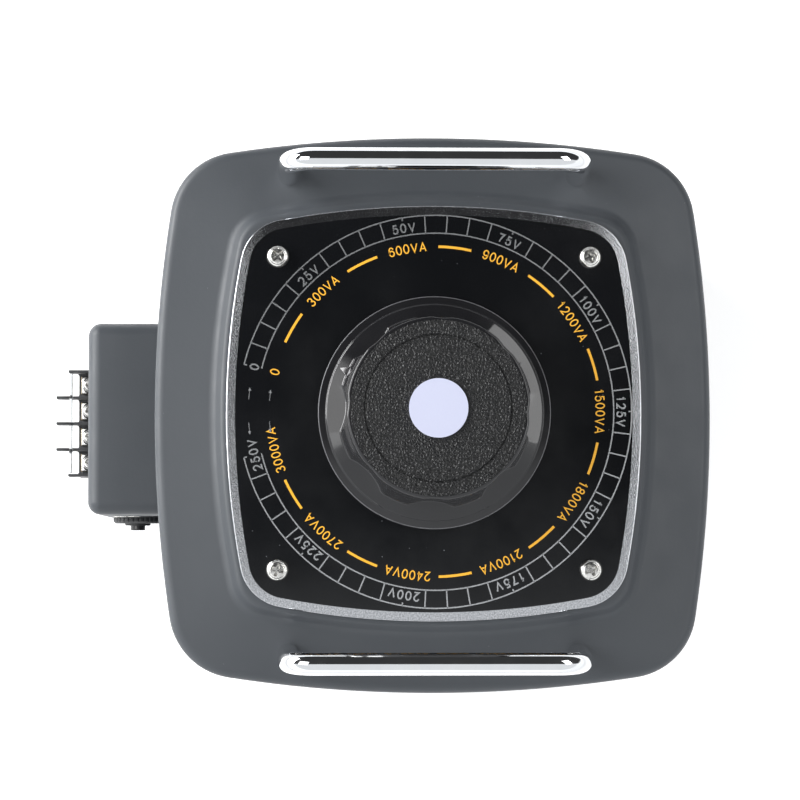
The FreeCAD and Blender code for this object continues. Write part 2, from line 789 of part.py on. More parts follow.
def spindle_column():
    flange = cylinder(FLANGE_R, FLOOR_Z, FLOOR_Z + FLANGE_T)
    foot = Part.makeCone(COLUMN_R + 6, COLUMN_R, 10, Vector(0, 0, FLOOR_Z + FLANGE_T))
    column = fused([flange, foot, cylinder(COLUMN_R, FLOOR_Z, COLUMN_TOP)])
    bush_low = FLOOR_Z + FLANGE_T
    bores = [
        cylinder(BUSH_R - 1, FLOOR_Z, COLUMN_TOP + 1),
        cylinder(POCKET_R, FLOOR_Z - 1, bush_low),
        cylinder(BUSH_R, bush_low, bush_low + BUSH_L),
        cylinder(BUSH_R, COLUMN_TOP - BUSH_L, COLUMN_TOP + 1),
    ]
    bores += [cylinder(M6[0], FLOOR_Z - 1, FLOOR_Z + 6.5, x, y) for x, y in column_screw_xy()]
    return column.cut(group(bores))


def column_screws():
    places = [(Vector(x, y, FOOT_H), Vector(0, 0, -1)) for x, y in column_screw_xy()]
    return placed_screws(M6, TRAY_FLOOR + 6.0, places)


def shaft_bushes():
    """Sleeves at the foot and the head of the column. The upper one has a flange the rotor rests on."""
    lower_z = FLOOR_Z + FLANGE_T
    bore = SHAFT_R + RUNNING
    lower = ring(BUSH_R, bore, lower_z, lower_z + BUSH_L)
    upper = ring(BUSH_R, bore, COLUMN_TOP - BUSH_L, COLUMN_TOP + BUSH_FLANGE_T)
    collar = ring(14.0, bore, COLUMN_TOP, COLUMN_TOP + BUSH_FLANGE_T)
    return group([lower, upper.fuse(collar).removeSplitter()])


def clamp_disc():
    disc = revolved([
        (COLUMN_R, WIND_TOP), (CLAMP_R, WIND_TOP), (CLAMP_R, CLAMP_TOP - 2),
        (CLAMP_R - 2, CLAMP_TOP), (COLUMN_R, CLAMP_TOP),
    ])
    holes = [
        cylinder(M4[0], CLAMP_TOP - 7, CLAMP_TOP + 1, 0, STOP_R),
        cylinder(M3[0], CLAMP_TOP - 7, CLAMP_TOP + 1, 0, -COLLECTOR_SCREW_R),
    ]
    return disc.cut(group(holes))


def clamp_nut():
    return hex_nut(50.0, COLUMN_R, 6.0).translated(Vector(0, 0, CLAMP_TOP))


def stop_post():
    post = cylinder(STOP_POST_R, CLAMP_TOP, ARM_Z - 1, 0, STOP_R)
    return fused([post, cylinder(M4[0], CLAMP_TOP - 6.5, CLAMP_TOP + 1, 0, STOP_R)])


COLLECTOR_SCREW_R = 37.5
COLLECTOR_R = 47.0
COLLECTOR_T = 1.0


def collector_contact():
    """Bent strip from the clamp disc up and in to the slip ring, at the front."""
    x = (-5.0, 5.0)
    top = ARM_Z - 3
    reach = -(SLIP_R + 0.3)
    pieces = [
        block(x, (-COLLECTOR_R, -32.0), (CLAMP_TOP, CLAMP_TOP + COLLECTOR_T)),
        block(x, (-COLLECTOR_R, -COLLECTOR_R + COLLECTOR_T), (CLAMP_TOP, top)),
        block(x, (-COLLECTOR_R, reach - 0.5), (top - COLLECTOR_T, top)),
        block((-3.0, 3.0), (reach - 3.0, reach), (top - 3.6, top)),
    ]
    strip = fused(pieces)
    return strip.cut(cylinder(M3[0], CLAMP_TOP - 1, CLAMP_TOP + 3, 0, -COLLECTOR_SCREW_R))


def collector_screw():
    seat = Vector(0, -COLLECTOR_SCREW_R, CLAMP_TOP + COLLECTOR_T)
    return aimed(pan_screw(M3, 7.0), seat, Vector(0, 0, 1))


# Leads

TAB_Z = SHELF_Z + PLATE_T / 2


def to_lug(end_angle, z):
    """Last two points of a lead that meets a lug on the winding square on."""
    return [polar(LUG_OUT + 17.5, end_angle, z), polar(LUG_OUT + 0.1, end_angle, z)]


def lead_live():
    """First terminal to the breaker."""
    breaker_y = BREAKER_Y - 4
    return tube("lead_live", [
        Vector(CELLS[0], PLATE_BACK, TAB_Z), Vector(CELLS[0], -98.0, TAB_Z), Vector(-19.5, -96.5, 91.0),
        Vector(-19.5, breaker_y, BREAKER_Z), Vector(-2.0, breaker_y, BREAKER_Z),
    ], LEAD_R)


def lead_breaker():
    """Breaker to the live end of the winding."""
    breaker_y = BREAKER_Y + 4
    return tube("lead_breaker", [
        Vector(-2.0, breaker_y, BREAKER_Z), Vector(-20.5, breaker_y, BREAKER_Z), Vector(-20.5, -91.5, 115.0),
        Vector(-2.0, -90.5, 121.0), Vector(20.5, -95.0, 117.0),
    ] + to_lug(FRONT + GAP_HALF - 1.8, 100.0), LEAD_R)


def lead_neutral():
    """Second terminal to the common end of the winding."""
    return tube("lead_neutral", [
        Vector(CELLS[1], PLATE_BACK, TAB_Z), Vector(CELLS[1], -99.5, TAB_Z),
    ] + to_lug(FRONT - GAP_HALF + 1.8, 68.0), LEAD_R)


def lead_output():
    """Fourth terminal, up through the gap in the winding, to the collector contact."""
    return tube("lead_output", [
        Vector(CELLS[3], PLATE_BACK, TAB_Z), Vector(CELLS[3], -98.0, TAB_Z), Vector(4.0, -87.0, 84.0),
        Vector(0.0, -82.5, 102.0), Vector(0.0, -79.5, 121.0), Vector(0.0, -63.0, 128.0),
        Vector(0.0, -COLLECTOR_R, 128.0),
    ], LEAD_R)


# Rotor, drawn with the brush and the pointer along +X and turned to the pointer's rest angle

def shaft():
    body = cylinder(SHAFT_R, SHAFT_BOTTOM, SHAFT_TOP)
    groove = ring(SHAFT_R + 1, RING_IN, RING_Z, RING_Z + RING_T)
    flat = block((SHAFT_R - 1, SHAFT_R + 1), (-8, 8), (SHAFT_TOP - 22, SHAFT_TOP + 1))
    tapped = cylinder(M6[0], SHAFT_TOP - 9, SHAFT_TOP + 1)
    return spun(body.cut(group([groove, flat, tapped])), POINTER)


RING_IN = 5.2
RING_T = 1.2
RING_Z = SHAFT_BOTTOM + 2.6


def retaining_ring():
    clip = ring(8.6, RING_IN, RING_Z, RING_Z + RING_T)
    return clip.cut(block((-10, 0), (-2.5, 2.5), (RING_Z - 1, RING_Z + 3)))


def thrust_washers():
    """One under the lower bush, held up by the clip, and one between the upper bush and the hub."""
    lower_z = RING_Z + RING_T
    lower = ring(9.5, SHAFT_R, lower_z, lower_z + 1.6)
    upper = ring(12.0, SHAFT_R, WASHER_Z, HUB_Z)
    return group([lower, upper])


SET_SCREW_Z = HUB_Z + HUB_H - 5


def set_screw_form():
    return Part.makeCylinder(M5[0], HUB_R - SHAFT_R - 0.6, Vector(0, SHAFT_R, SET_SCREW_Z), Vector(0, 1, 0))


def arm_hub():
    hub = ring(HUB_R, SHAFT_R, HUB_Z, HUB_Z + HUB_H)
    bore = Part.makeCylinder(M5[0], HUB_R, Vector(0, SHAFT_R - 1, SET_SCREW_Z), Vector(0, 1, 0))
    return spun(hub.cut(bore), POINTER)


def hub_set_screw():
    socket_y = HUB_R - 0.6 - 2
    socket = Part.makeCylinder(1.25, 3, Vector(0, socket_y, SET_SCREW_Z), Vector(0, 1, 0))
    return spun(set_screw_form().cut(socket), POINTER)


def slip_ring():
    return ring(SLIP_R, HUB_R, HUB_Z + 0.2, ARM_Z)


def brush_arm():
    """Aluminium arm with cooling fins, a boss round the hub and a stop lug at its short end."""
    z = (ARM_Z, ARM_Z + ARM_T)
    tip = BRUSH_R + 9
    pieces = [
        cylinder(28.0, *z),
        block((-56.0, tip), (-ARM_W / 2, ARM_W / 2), z),
        block((-STOP_R - 2, -STOP_R + 2), (-STOP_LUG_HALF, STOP_LUG_HALF), (ARM_Z - 8, ARM_Z)),
    ]
    for i in range(-2, 3):
        y = (i * 6.0 - 0.8, i * 6.0 + 0.8)
        pieces.append(block((26.0, tip), y, (z[1], z[1] + FIN_H)))
        pieces.append(block((-55.0, -26.0), y, (z[1], z[1] + FIN_H)))
    arm = fused(pieces).cut(cylinder(HUB_R, ARM_Z - 1, z[1] + 1))
    return spun(arm, POINTER)


HOLDER_HALF = 8.0
BRUSH_HALF = 5.2
BRUSH_TOP = WIND_TOP + 16.0
HOLDER_ROOF = ARM_Z - 2.0


def brush_holder():
    box_x = (BRUSH_R - HOLDER_HALF, BRUSH_R + HOLDER_HALF)
    inner = BRUSH_HALF + 0.3
    outside = block(box_x, (-HOLDER_HALF, HOLDER_HALF), (WIND_TOP + 2, ARM_Z))
    guide = block((BRUSH_R - inner, BRUSH_R + inner), (-inner, inner), (WIND_TOP + 1, HOLDER_ROOF))
    return spun(outside.cut(guide), POINTER)


def carbon_brush():
    x = (BRUSH_R - BRUSH_HALF, BRUSH_R + BRUSH_HALF)
    return spun(block(x, (-BRUSH_HALF, BRUSH_HALF), (WIND_TOP + 0.3, BRUSH_TOP)), POINTER)


def brush_spring():
    spring = coil_spring(3.4, 0.4, BRUSH_TOP, HOLDER_ROOF, 4)
    return spun(spring.translated(Vector(BRUSH_R, 0, 0)), POINTER)


# Knob

def knob_outside():
    """Flange, shallow conical skirt and tall scalloped grip, with the top edge eased."""
    low = revolved([
        (0, KNOB_Z), (FLANGE_KNOB_R, KNOB_Z), (FLANGE_KNOB_R, KNOB_Z + 2.4), (FLANGE_KNOB_R - 0.6, KNOB_Z + 3),
        (SKIRT_R, KNOB_Z + 3), (SKIRT_R - 0.3, KNOB_Z + 3.7), (GRIP_LOW_R + 0.9, GRIP_Z), (0, GRIP_Z),
    ])
    grip = revolved([
        (0, GRIP_Z), (GRIP_LOW_R, GRIP_Z), (GRIP_TOP_R, KNOB_TOP - 1.4), (GRIP_TOP_R - 0.3, KNOB_TOP - 0.6),
        (GRIP_TOP_R - 1.0, KNOB_TOP), (0, KNOB_TOP),
    ])
    scallops = [
        spun(cylinder(SCALLOP_R, GRIP_Z, KNOB_TOP + 1, VALLEY_R + SCALLOP_R), 360 * (i + 0.5) / LOBES)
        for i in range(LOBES)
    ]
    return fused([low, grip.cut(group(scallops)), pointer_wedge()])


def pointer_wedge():
    """Raised arrow on the skirt, running out from one lobe and falling towards its tip."""
    tip = SKIRT_R - 1.2
    root = GRIP_LOW_R - 2.5
    half = (tip - root) * math.tan(math.radians(28))
    corners = [Vector(tip, 0, KNOB_Z + 3), Vector(root, half, KNOB_Z + 3), Vector(root, -half, KNOB_Z + 3)]
    upright = Part.Face(Part.makePolygon(corners + corners[:1])).extrude(Vector(0, 0, 20))
    low = KNOB_Z + 3
    roof = revolved([(0, low), (tip + 1, low), (tip, low + 2), (root, GRIP_Z + 3.5), (0, GRIP_Z + 3.5)])
    return upright.common(roof)


def knob():
    hollow = revolved([
        (KNOB_HUB_R, KNOB_Z - 1), (VALLEY_R - 2.6, KNOB_Z - 1),
        (VALLEY_R - 2.8, KNOB_TOP - 3), (KNOB_HUB_R, KNOB_TOP - 3),
    ])
    bores = [
        hollow,
        cylinder(INSERT_R, KNOB_Z - 1, SHAFT_TOP),
        cylinder(M6[0] + 0.2, SHAFT_TOP - 1, RECESS_Z + 1),
        cylinder(RECESS_R, RECESS_Z, KNOB_TOP + 1),
        ring(26.2, 25.4, KNOB_TOP - 0.5, KNOB_TOP + 1),
    ]
    return spun(knob_outside().cut(group(bores)), POINTER)


def knob_insert():
    """Brass sleeve moulded into the knob, with a flat that matches the shaft."""
    sleeve = cylinder(INSERT_R, KNOB_Z, SHAFT_TOP)
    d_bore = cylinder(SHAFT_R, KNOB_Z - 1, SHAFT_TOP + 1)
    d_bore = d_bore.cut(block((SHAFT_R - 1, SHAFT_R + 1), (-8, 8), (SHAFT_TOP - 22, SHAFT_TOP + 2)))
    return spun(sleeve.cut(d_bore), POINTER)


def knob_screw():
    screw = pan_screw(M6, RECESS_Z - SHAFT_TOP + 8)
    return spun(screw.translated(Vector(0, 0, RECESS_Z)), POINTER)


def knob_label():
    return cylinder(LABEL_R, KNOB_TOP, KNOB_TOP + LABEL_T)


PIECES = {
    "base_tray": base_tray,
    "rubber_feet": rubber_feet,
    "foot_screws": foot_screws,
    "side_shell": side_shell,
    "top_cover": top_cover,
    "case_screws": case_screws,
    "clinch_nuts": clinch_nuts,
    "earth_screw": earth_screw,
    "dial_plate": dial_plate,
    "dial_screws": dial_screws,
    "cover_bush": cover_bush,
    "handle_right": lambda: handle(0),
    "handle_left": lambda: handle(180),
    "handle_nuts": handle_nuts,
    "terminal_box": terminal_box,
    "terminal_block": terminal_block,
    "terminal_plates": terminal_plates,
    "terminal_washers": terminal_washers,
    "terminal_screws": terminal_screws,
    "terminal_block_screws": terminal_block_screws,
    "common_link": common_link,
    "terminal_cover": terminal_cover,
    "breaker_body": breaker_body,
    "breaker_washer": breaker_washer,
    "breaker_nut": breaker_nut,
    "breaker_tabs": breaker_tabs,
    "reset_button": reset_button,
    "toroid_core": toroid_core,
    "core_cap_lower": lambda: core_cap(CORE_BOTTOM, 1),
    "core_cap_upper": lambda: core_cap(CORE_TOP, -1),
    "winding": winding,
    "coil_pads": coil_pads,
    "coil_lugs": coil_lugs,
    "spindle_column": spindle_column,
    "column_screws": column_screws,
    "shaft_bushes": shaft_bushes,
    "clamp_disc": clamp_disc,
    "clamp_nut": clamp_nut,
    "stop_post": stop_post,
    "collector_contact": collector_contact,
    "collector_screw": collector_screw,
    "lead_live": lead_live,
    "lead_breaker": lead_breaker,
    "lead_neutral": lead_neutral,
    "lead_output": lead_output,
    "shaft": shaft,
    "retaining_ring": retaining_ring,
    "thrust_washers": thrust_washers,
    "arm_hub": arm_hub,
    "hub_set_screw": hub_set_screw,
    "slip_ring": slip_ring,
    "brush_arm": brush_arm,
    "brush_holder": brush_holder,
    "brush_spring": brush_spring,
    "carbon_brush": carbon_brush,
    "knob": knob,
    "knob_insert": knob_insert,
    "knob_screw": knob_screw,
    "knob_label": knob_label,
}


os.makedirs("parts", exist_ok=True)
for name, build in PIECES.items():
    piece = build().translated(Vector(0, AXIS_Y, 0))
    print(f"{name}: {len(piece.Solids)} solids, {piece.Volume:.0f} mm3, valid {piece.isValid()}")
    piece.exportStep(f"parts/{name}.step")
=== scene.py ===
"""Looks of a 3 kVA variable autotransformer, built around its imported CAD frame. Lengths are in metres."""
import json
import random
from math import atan2, ceil, copysign, cos, degrees, pi, radians, sin, sqrt, tan

import bmesh
import bpy
from mathutils import Matrix, Vector


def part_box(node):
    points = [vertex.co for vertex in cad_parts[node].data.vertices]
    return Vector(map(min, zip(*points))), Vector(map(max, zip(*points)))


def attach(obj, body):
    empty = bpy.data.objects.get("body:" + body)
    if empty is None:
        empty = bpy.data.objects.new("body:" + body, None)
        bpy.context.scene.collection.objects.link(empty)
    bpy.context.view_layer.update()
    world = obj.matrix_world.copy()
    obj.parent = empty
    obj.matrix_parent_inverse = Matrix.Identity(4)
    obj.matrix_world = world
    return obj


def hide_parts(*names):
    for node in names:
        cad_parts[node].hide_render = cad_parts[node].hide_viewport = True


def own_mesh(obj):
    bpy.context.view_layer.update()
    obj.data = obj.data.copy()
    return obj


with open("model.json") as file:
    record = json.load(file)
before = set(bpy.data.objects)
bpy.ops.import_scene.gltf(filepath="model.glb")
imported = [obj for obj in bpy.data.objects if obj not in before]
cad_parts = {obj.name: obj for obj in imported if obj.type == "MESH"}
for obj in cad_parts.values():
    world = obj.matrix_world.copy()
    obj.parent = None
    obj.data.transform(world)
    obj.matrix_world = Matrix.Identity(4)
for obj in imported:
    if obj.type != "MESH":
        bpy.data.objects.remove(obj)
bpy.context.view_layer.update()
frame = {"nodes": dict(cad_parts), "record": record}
scene = bpy.context.scene

MM = 0.001


# ---- measures taken from the frame

def middle(node):
    low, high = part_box(node)
    return (low + high) / 2


def top(node):
    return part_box(node)[1].z


def bottom(node):
    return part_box(node)[0].z


AXIS = Vector((middle("shaft").x, middle("shaft").y, 0))
TO_AXIS = Matrix.Translation(AXIS)
CASE_HALF = (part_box("top_cover")[1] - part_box("top_cover")[0]) / 2
DIAL_HALF = (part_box("dial_plate")[1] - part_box("dial_plate")[0]) / 2
PLATE_TOP = top("dial_plate")
PLATEAU_Z = bottom("dial_plate")
KNOB_Z = bottom("knob")
KNOB_TOP = top("knob")

# Outlines: (half x, half y, side radius, corner radius)
CASE = (CASE_HALF.x, CASE_HALF.y, 490 * MM, 25.5 * MM)
PLATEAU = (DIAL_HALF.x + 1.4 * MM, DIAL_HALF.y + 1.4 * MM, 300 * MM, 11.5 * MM)
DIAL = (DIAL_HALF.x, DIAL_HALF.y, 300 * MM, 17.5 * MM)
SIDE_STEPS = 20
CORNER_STEPS = 14

# Directions about the axis, in degrees from +X
FRONT = 270.0
POINTER = 245.0

CORNER_ANGLE = 30.0

# CAD nodes that are shown as they are but for their rounded edges, with the cut of each in millimetres
EDGE_CUTS = {
    "terminal_cover": 0.25, "terminal_box": 0.25, "breaker_washer": 0.08, "breaker_nut": 0.12,
    "reset_button": 0.15, "side_shell": 0.2, "base_tray": 0.25, "rubber_feet": 0.4,
}
BODY_OF = {node: body for body, nodes in frame["record"]["behaviour"]["bodies"].items() for node in nodes}
SLOT_OF = {part["node"]: part["material_slot"] for part in frame["record"]["subparts"]}


# ---- mesh helpers

class Form:
    """Points and faces gathered for one mesh."""

    def __init__(self):
        self.points = []
        self.faces = []

    def row(self, points):
        first = len(self.points)
        self.points += [Vector(point) for point in points]
        return list(range(first, len(self.points)))

    def bridge(self, low, high):
        """Quads between two closed rows. A row of one point gives a fan."""
        count = max(len(low), len(high))
        for i in range(count):
            j = (i + 1) % count
            corners = [low[i % len(low)], low[j % len(low)], high[j % len(high)], high[i % len(high)]]
            self.faces.append(list(dict.fromkeys(corners)))

    def merge(self, other, place=None):
        first = len(self.points)
        place = place or Matrix()
        self.points += [place @ point for point in other.points]
        self.faces += [[first + i for i in face] for face in other.faces]
        return self

    def placed(self, place):
        return Form().merge(self, place)


def skin(rows, looped=False, ends=False):
    """Closed rows of points joined one to the next, round to the first again, or capped at both ends."""
    form = Form()
    made = [form.row(points) for points in rows]
    following = made[1:] + made[:1] if looped else made[1:]
    for low, high in zip(made, following):
        form.bridge(low, high)
    if ends:
        form.faces.append(list(reversed(made[0])))
        form.faces.append(list(made[-1]))
    return form


def eased(rows, cuts, steps=5):
    """Rows with some of them replaced by a round: each cut is how far back the round starts."""
    result = []
    for i, (row, cut) in enumerate(zip(rows, cuts)):
        if not cut:
            result.append(row)
            continue
        before = rows[i - 1]
        after = rows[(i + 1) % len(rows)]
        for step in range(steps + 1):
            t = step / steps
            weights = ((1 - t) ** 2, sqrt(2) * t * (1 - t), t ** 2)
            total = sum(weights)
            rounded = []
            for a, b, c in zip(before, row, after):
                start = b + (a - b).normalized() * cut
                end = b + (c - b).normalized() * cut
                rounded.append((start * weights[0] + b * weights[1] + end * weights[2]) / total)
            result.append(rounded)
    return result


def turned(corners, steps, looped=False):
    """A profile of (radius, height, cut) corners turned about the Z axis, each corner rounded by its cut."""
    rows = [[Vector((radius, 0, height))] for radius, height, cut in corners]
    profile = eased(rows, [cut for radius, height, cut in corners])
    turns = [Matrix.Rotation(2 * pi * step / steps, 3, "Z") for step in range(steps)]
    circles = []
    for (point,) in profile:
        circles.append([point] if point.x < 1e-7 else [turn @ point for turn in turns])
    return skin(circles, looped)


def outline_centres(outline):
    """Centres of the right, corner and back arcs, and the angles between which the corner runs."""
    half_x, half_y, side_r, corner_r = outline
    right = Vector((half_x - side_r, 0))
    back = Vector((0, half_y - side_r))
    between = back - right
    reach = side_r - corner_r
    rise = sqrt(reach ** 2 - (between.length / 2) ** 2)
    across = Vector((-between.y, between.x)).normalized()
    corner = (right + back) / 2 + across * rise
    turn = atan2(corner.y - right.y, corner.x - right.x)
    back_turn = atan2(corner.y - back.y, corner.x - back.x)
    return right, corner, back, turn, back_turn


def outline_row(outline, grow, z):
    """Points round four bowed sides joined by round corners, moved outwards by grow."""
    half_y, side_r, corner_r = outline[1:]
    right, corner, back, turn, back_turn = outline_centres(outline)
    arcs = [
        (right, side_r, 0, turn, SIDE_STEPS),
        (corner, corner_r, turn, back_turn, CORNER_STEPS),
        (back, side_r, back_turn, pi / 2, SIDE_STEPS),
    ]
    quarter = []
    for centre, radius, start, end, steps in arcs:
        for step in range(steps):
            angle = start + (end - start) * step / steps
            quarter.append(centre + Vector((cos(angle), sin(angle))) * (radius + grow))
    quarter.append(Vector((0, half_y + grow)))
    ahead, back_again = quarter[:-1], quarter[:0:-1]
    points = []
    for sx, sy, run in ((1, 1, ahead), (-1, 1, back_again), (-1, -1, ahead), (1, -1, back_again)):
        points += [Vector((sx * p.x, sy * p.y, z)) for p in run]
    return points


def circle_like(row, radius, z):
    """A circle with a point in the direction of each point of a row."""
    return [Vector((p.x, p.y, 0)).normalized() * radius + Vector((0, 0, z)) for p in row]


def with_neighbours(path, looped):
    """Each point with those before and after it. The ends of an open path stand in for what they lack."""
    last = len(path) - 1
    for i, here in enumerate(path):
        before = path[i - 1] if looped or i else here
        after = path[(i + 1) % len(path)] if looped or i < last else here
        yield before, here, after


def swept(path, radius, sides, looped=False):
    """A round bar along a path of points, its ends closed flat."""
    form_rows = []
    side = None
    for before, here, after in with_neighbours(path, looped):
        along = (after - before).normalized()
        if side is None:
            side = along.orthogonal()
        side = (side - along * side.dot(along)).normalized()
        up = along.cross(side)
        ring = []
        for step in range(sides):
            angle = 2 * pi * step / sides
            ring.append(here + (side * cos(angle) + up * sin(angle)) * radius)
        form_rows.append(ring)
    return skin(form_rows, looped, ends=not looped)


def bent(corners, radius, steps):
    """Points along straight runs joined by arcs of one radius."""
    path = [corners[0]]
    for before, corner, after in zip(corners, corners[1:], corners[2:]):
        back = (before - corner).normalized()
        ahead = (after - corner).normalized()
        half = back.angle(ahead) / 2
        reach = radius / tan(half)
        centre = corner + (back + ahead).normalized() * (radius / sin(half))
        start = corner + back * reach - centre
        end = corner + ahead * reach - centre
        sweep = start.angle(end)
        for step in range(steps + 1):
            t = step / steps
            blend = start * sin((1 - t) * sweep) + end * sin(t * sweep)
            path.append(centre + blend / sin(sweep))
    path.append(corners[-1])
    return path


def slab(x, y, z, cut=0.0):
    """A box between pairs of sides, with its twelve edges cut back."""
    box = bmesh.new()
    bmesh.ops.create_cube(box, size=1)
    for vert in box.verts:
        vert.co = Vector([(low + high) / 2 + c * (high - low) for c, (low, high) in zip(vert.co, (x, y, z))])
    if cut:
        bevel(box, box.edges[:], cut)
    return from_bmesh(box)


def editable(mesh):
    shape = bmesh.new()
    shape.from_mesh(mesh)
    return shape


def bevel(shape, edges, cut, segments=3, **settings):
    bmesh.ops.bevel(shape, geom=edges, offset=cut, segments=segments, profile=0.5, affect="EDGES", **settings)


def join_up(shape):
    """Merges doubled points and turns the faces outwards."""
    bmesh.ops.remove_doubles(shape, verts=shape.verts[:], dist=1e-7)
    bmesh.ops.recalc_face_normals(shape, faces=shape.faces[:])


def from_bmesh(mesh):
    """The form of an edited mesh, which is freed."""
    form = Form()
    mesh.verts.index_update()
    form.points = [vert.co.copy() for vert in mesh.verts]
    form.faces = [[vert.index for vert in face.verts] for face in mesh.faces]
    mesh.free()
    return form


def placed_object(name, data):
    made = bpy.data.objects.new(name, data)
    scene.collection.objects.link(made)
    return made


def plain_object(name, form):
    mesh = bpy.data.meshes.new(name)
    mesh.from_pydata([point[:] for point in form.points], [], form.faces)
    shape = editable(mesh)
    join_up(shape)
    shape.to_mesh(mesh)
    shape.free()
    return placed_object(name, mesh)


def carved(form, cutter):
    """The form with the cutter's shape taken out of it."""
    body = plain_object("carved_body", form)
    tool = plain_object("carving_tool", cutter)
    step = body.modifiers.new("carve", "BOOLEAN")
    step.object = tool
    step.operation = "DIFFERENCE"
    step.solver = "EXACT"
    bpy.context.view_layer.update()
    evaluated = body.evaluated_get(bpy.context.evaluated_depsgraph_get())
    result = from_bmesh(editable(evaluated.data))
    for scrap in (body, tool):
        mesh = scrap.data
        bpy.data.objects.remove(scrap)
        bpy.data.meshes.remove(mesh)
    return result


def make_piece(name, form, finish, replaces=(), sharp=32.0, body="case"):
    """Turns a form into a finished piece that rides on a body and may stand for CAD nodes.

    Edges that turn by more than the sharp angle, in degrees, are not shaded smooth."""
    piece = plain_object(name, form)
    mesh = piece.data
    mesh.polygons.foreach_set("use_smooth", [True] * len(mesh.polygons))
    mesh.set_sharp_from_angle(angle=radians(sharp))
    mesh.materials.append(FINISHES[finish])
    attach(piece, body)
    if replaces:
        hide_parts(*replaces)
    return piece


def to_bmesh(points, faces):
    """An edited mesh of points and of faces that list them."""
    shape = bmesh.new()
    verts = [shape.verts.new(point) for point in points]
    for face in faces:
        shape.faces.new([verts[i] for i in face])
    return shape


def softened(shape, cut, corner=CORNER_ANGLE):
    """The form of an edited mesh, every edge sharper than the corner angle rounded."""
    join_up(shape)
    flat, corner = radians(1), radians(corner)
    bmesh.ops.dissolve_limit(shape, angle_limit=flat, verts=shape.verts[:], edges=shape.edges[:])
    sharp = [edge for edge in shape.edges if edge.is_manifold and edge.calc_face_angle() > corner]
    bevel(shape, sharp, cut, segments=2, clamp_overlap=True)
    return from_bmesh(shape)


def ease_edges(node, cut):
    """Puts a copy of a CAD node with rounded edges in its place."""
    form = softened(editable(frame["nodes"][node].data), cut)
    return make_piece(node + "_eased", form, SLOT_OF[node], [node], CORNER_ANGLE, BODY_OF[node])


def even_shading(piece):
    """Shades flat faces flat, and leaves the turn of the normals to the rounded edges."""
    weighted = piece.modifiers.new("even_shading", "WEIGHTED_NORMAL")
    weighted.keep_sharp = True


def wall_normal(point, outline):
    """Outward direction of an upright wall that follows an outline about the axis."""
    right, corner, back, turn, back_turn = outline_centres(outline)
    spot = Vector((abs(point.x - AXIS.x), abs(point.y - AXIS.y)))
    centre = corner
    if atan2((spot - right).y, (spot - right).x) < turn:
        centre = right
    elif atan2((spot - back).y, (spot - back).x) > back_turn:
        centre = back
    away = (spot - centre).normalized()
    return Vector((copysign(away.x, point.x - AXIS.x), copysign(away.y, point.y - AXIS.y), 0))


def true_walls(piece, outline):
    """Gives the outer wall its exact normals, so that its long thin faces don't show."""
    mesh = piece.data
    normals = [corner.vector.copy() for corner in mesh.corner_normals]
    for face in mesh.polygons:
        if face.normal.dot(wall_normal(face.center, outline)) < 0.98:
            continue
        for i in face.loop_indices:
            normals[i] = wall_normal(mesh.vertices[mesh.loops[i].vertex_index].co, outline)
    mesh.normals_split_custom_set(normals)


def about_z(angle):
    """A turn by an angle in degrees about the Z axis."""
    return Matrix.Rotation(radians(angle), 4, "Z")


def polar(radius, bearing, z=0.0):
    """The point at a radius and an angle in degrees from +X."""
    angle = radians(bearing)
    return Vector((radius * cos(angle), radius * sin(angle), z))


# ---- materials

class Nodes:
    """Adds nodes to a node tree. Its helpers return sockets, and take them or plain values as inputs."""

    def __init__(self, tree, coordinates):
        self.tree = tree
        self.place = self.add("TexCoord").outputs[coordinates]

    def feed(self, socket, value):
        """Gives a socket its value, or links it to the socket that drives it."""
        if isinstance(value, bpy.types.NodeSocket):
            self.tree.links.new(value, socket)
        else:
            socket.default_value = value

    def add(self, kind, inputs=None, **settings):
        node = self.tree.nodes.new("ShaderNode" + kind)
        for key, value in settings.items():
            setattr(node, key, value)
        for key, value in (inputs or {}).items():
            self.feed(node.inputs[key], value)
        return node

    def maths(self, operation, a, b=0.0):
        return self.add("Math", {0: a, 1: b}, operation=operation).outputs["Value"]

    def ramp(self, source, low, high, start=0.0, end=1.0):
        """Maps a factor between two levels onto a range of values."""
        inputs = {"Value": source, "From Min": low, "From Max": high, "To Min": start, "To Max": end}
        return self.add("MapRange", inputs).outputs["Result"]


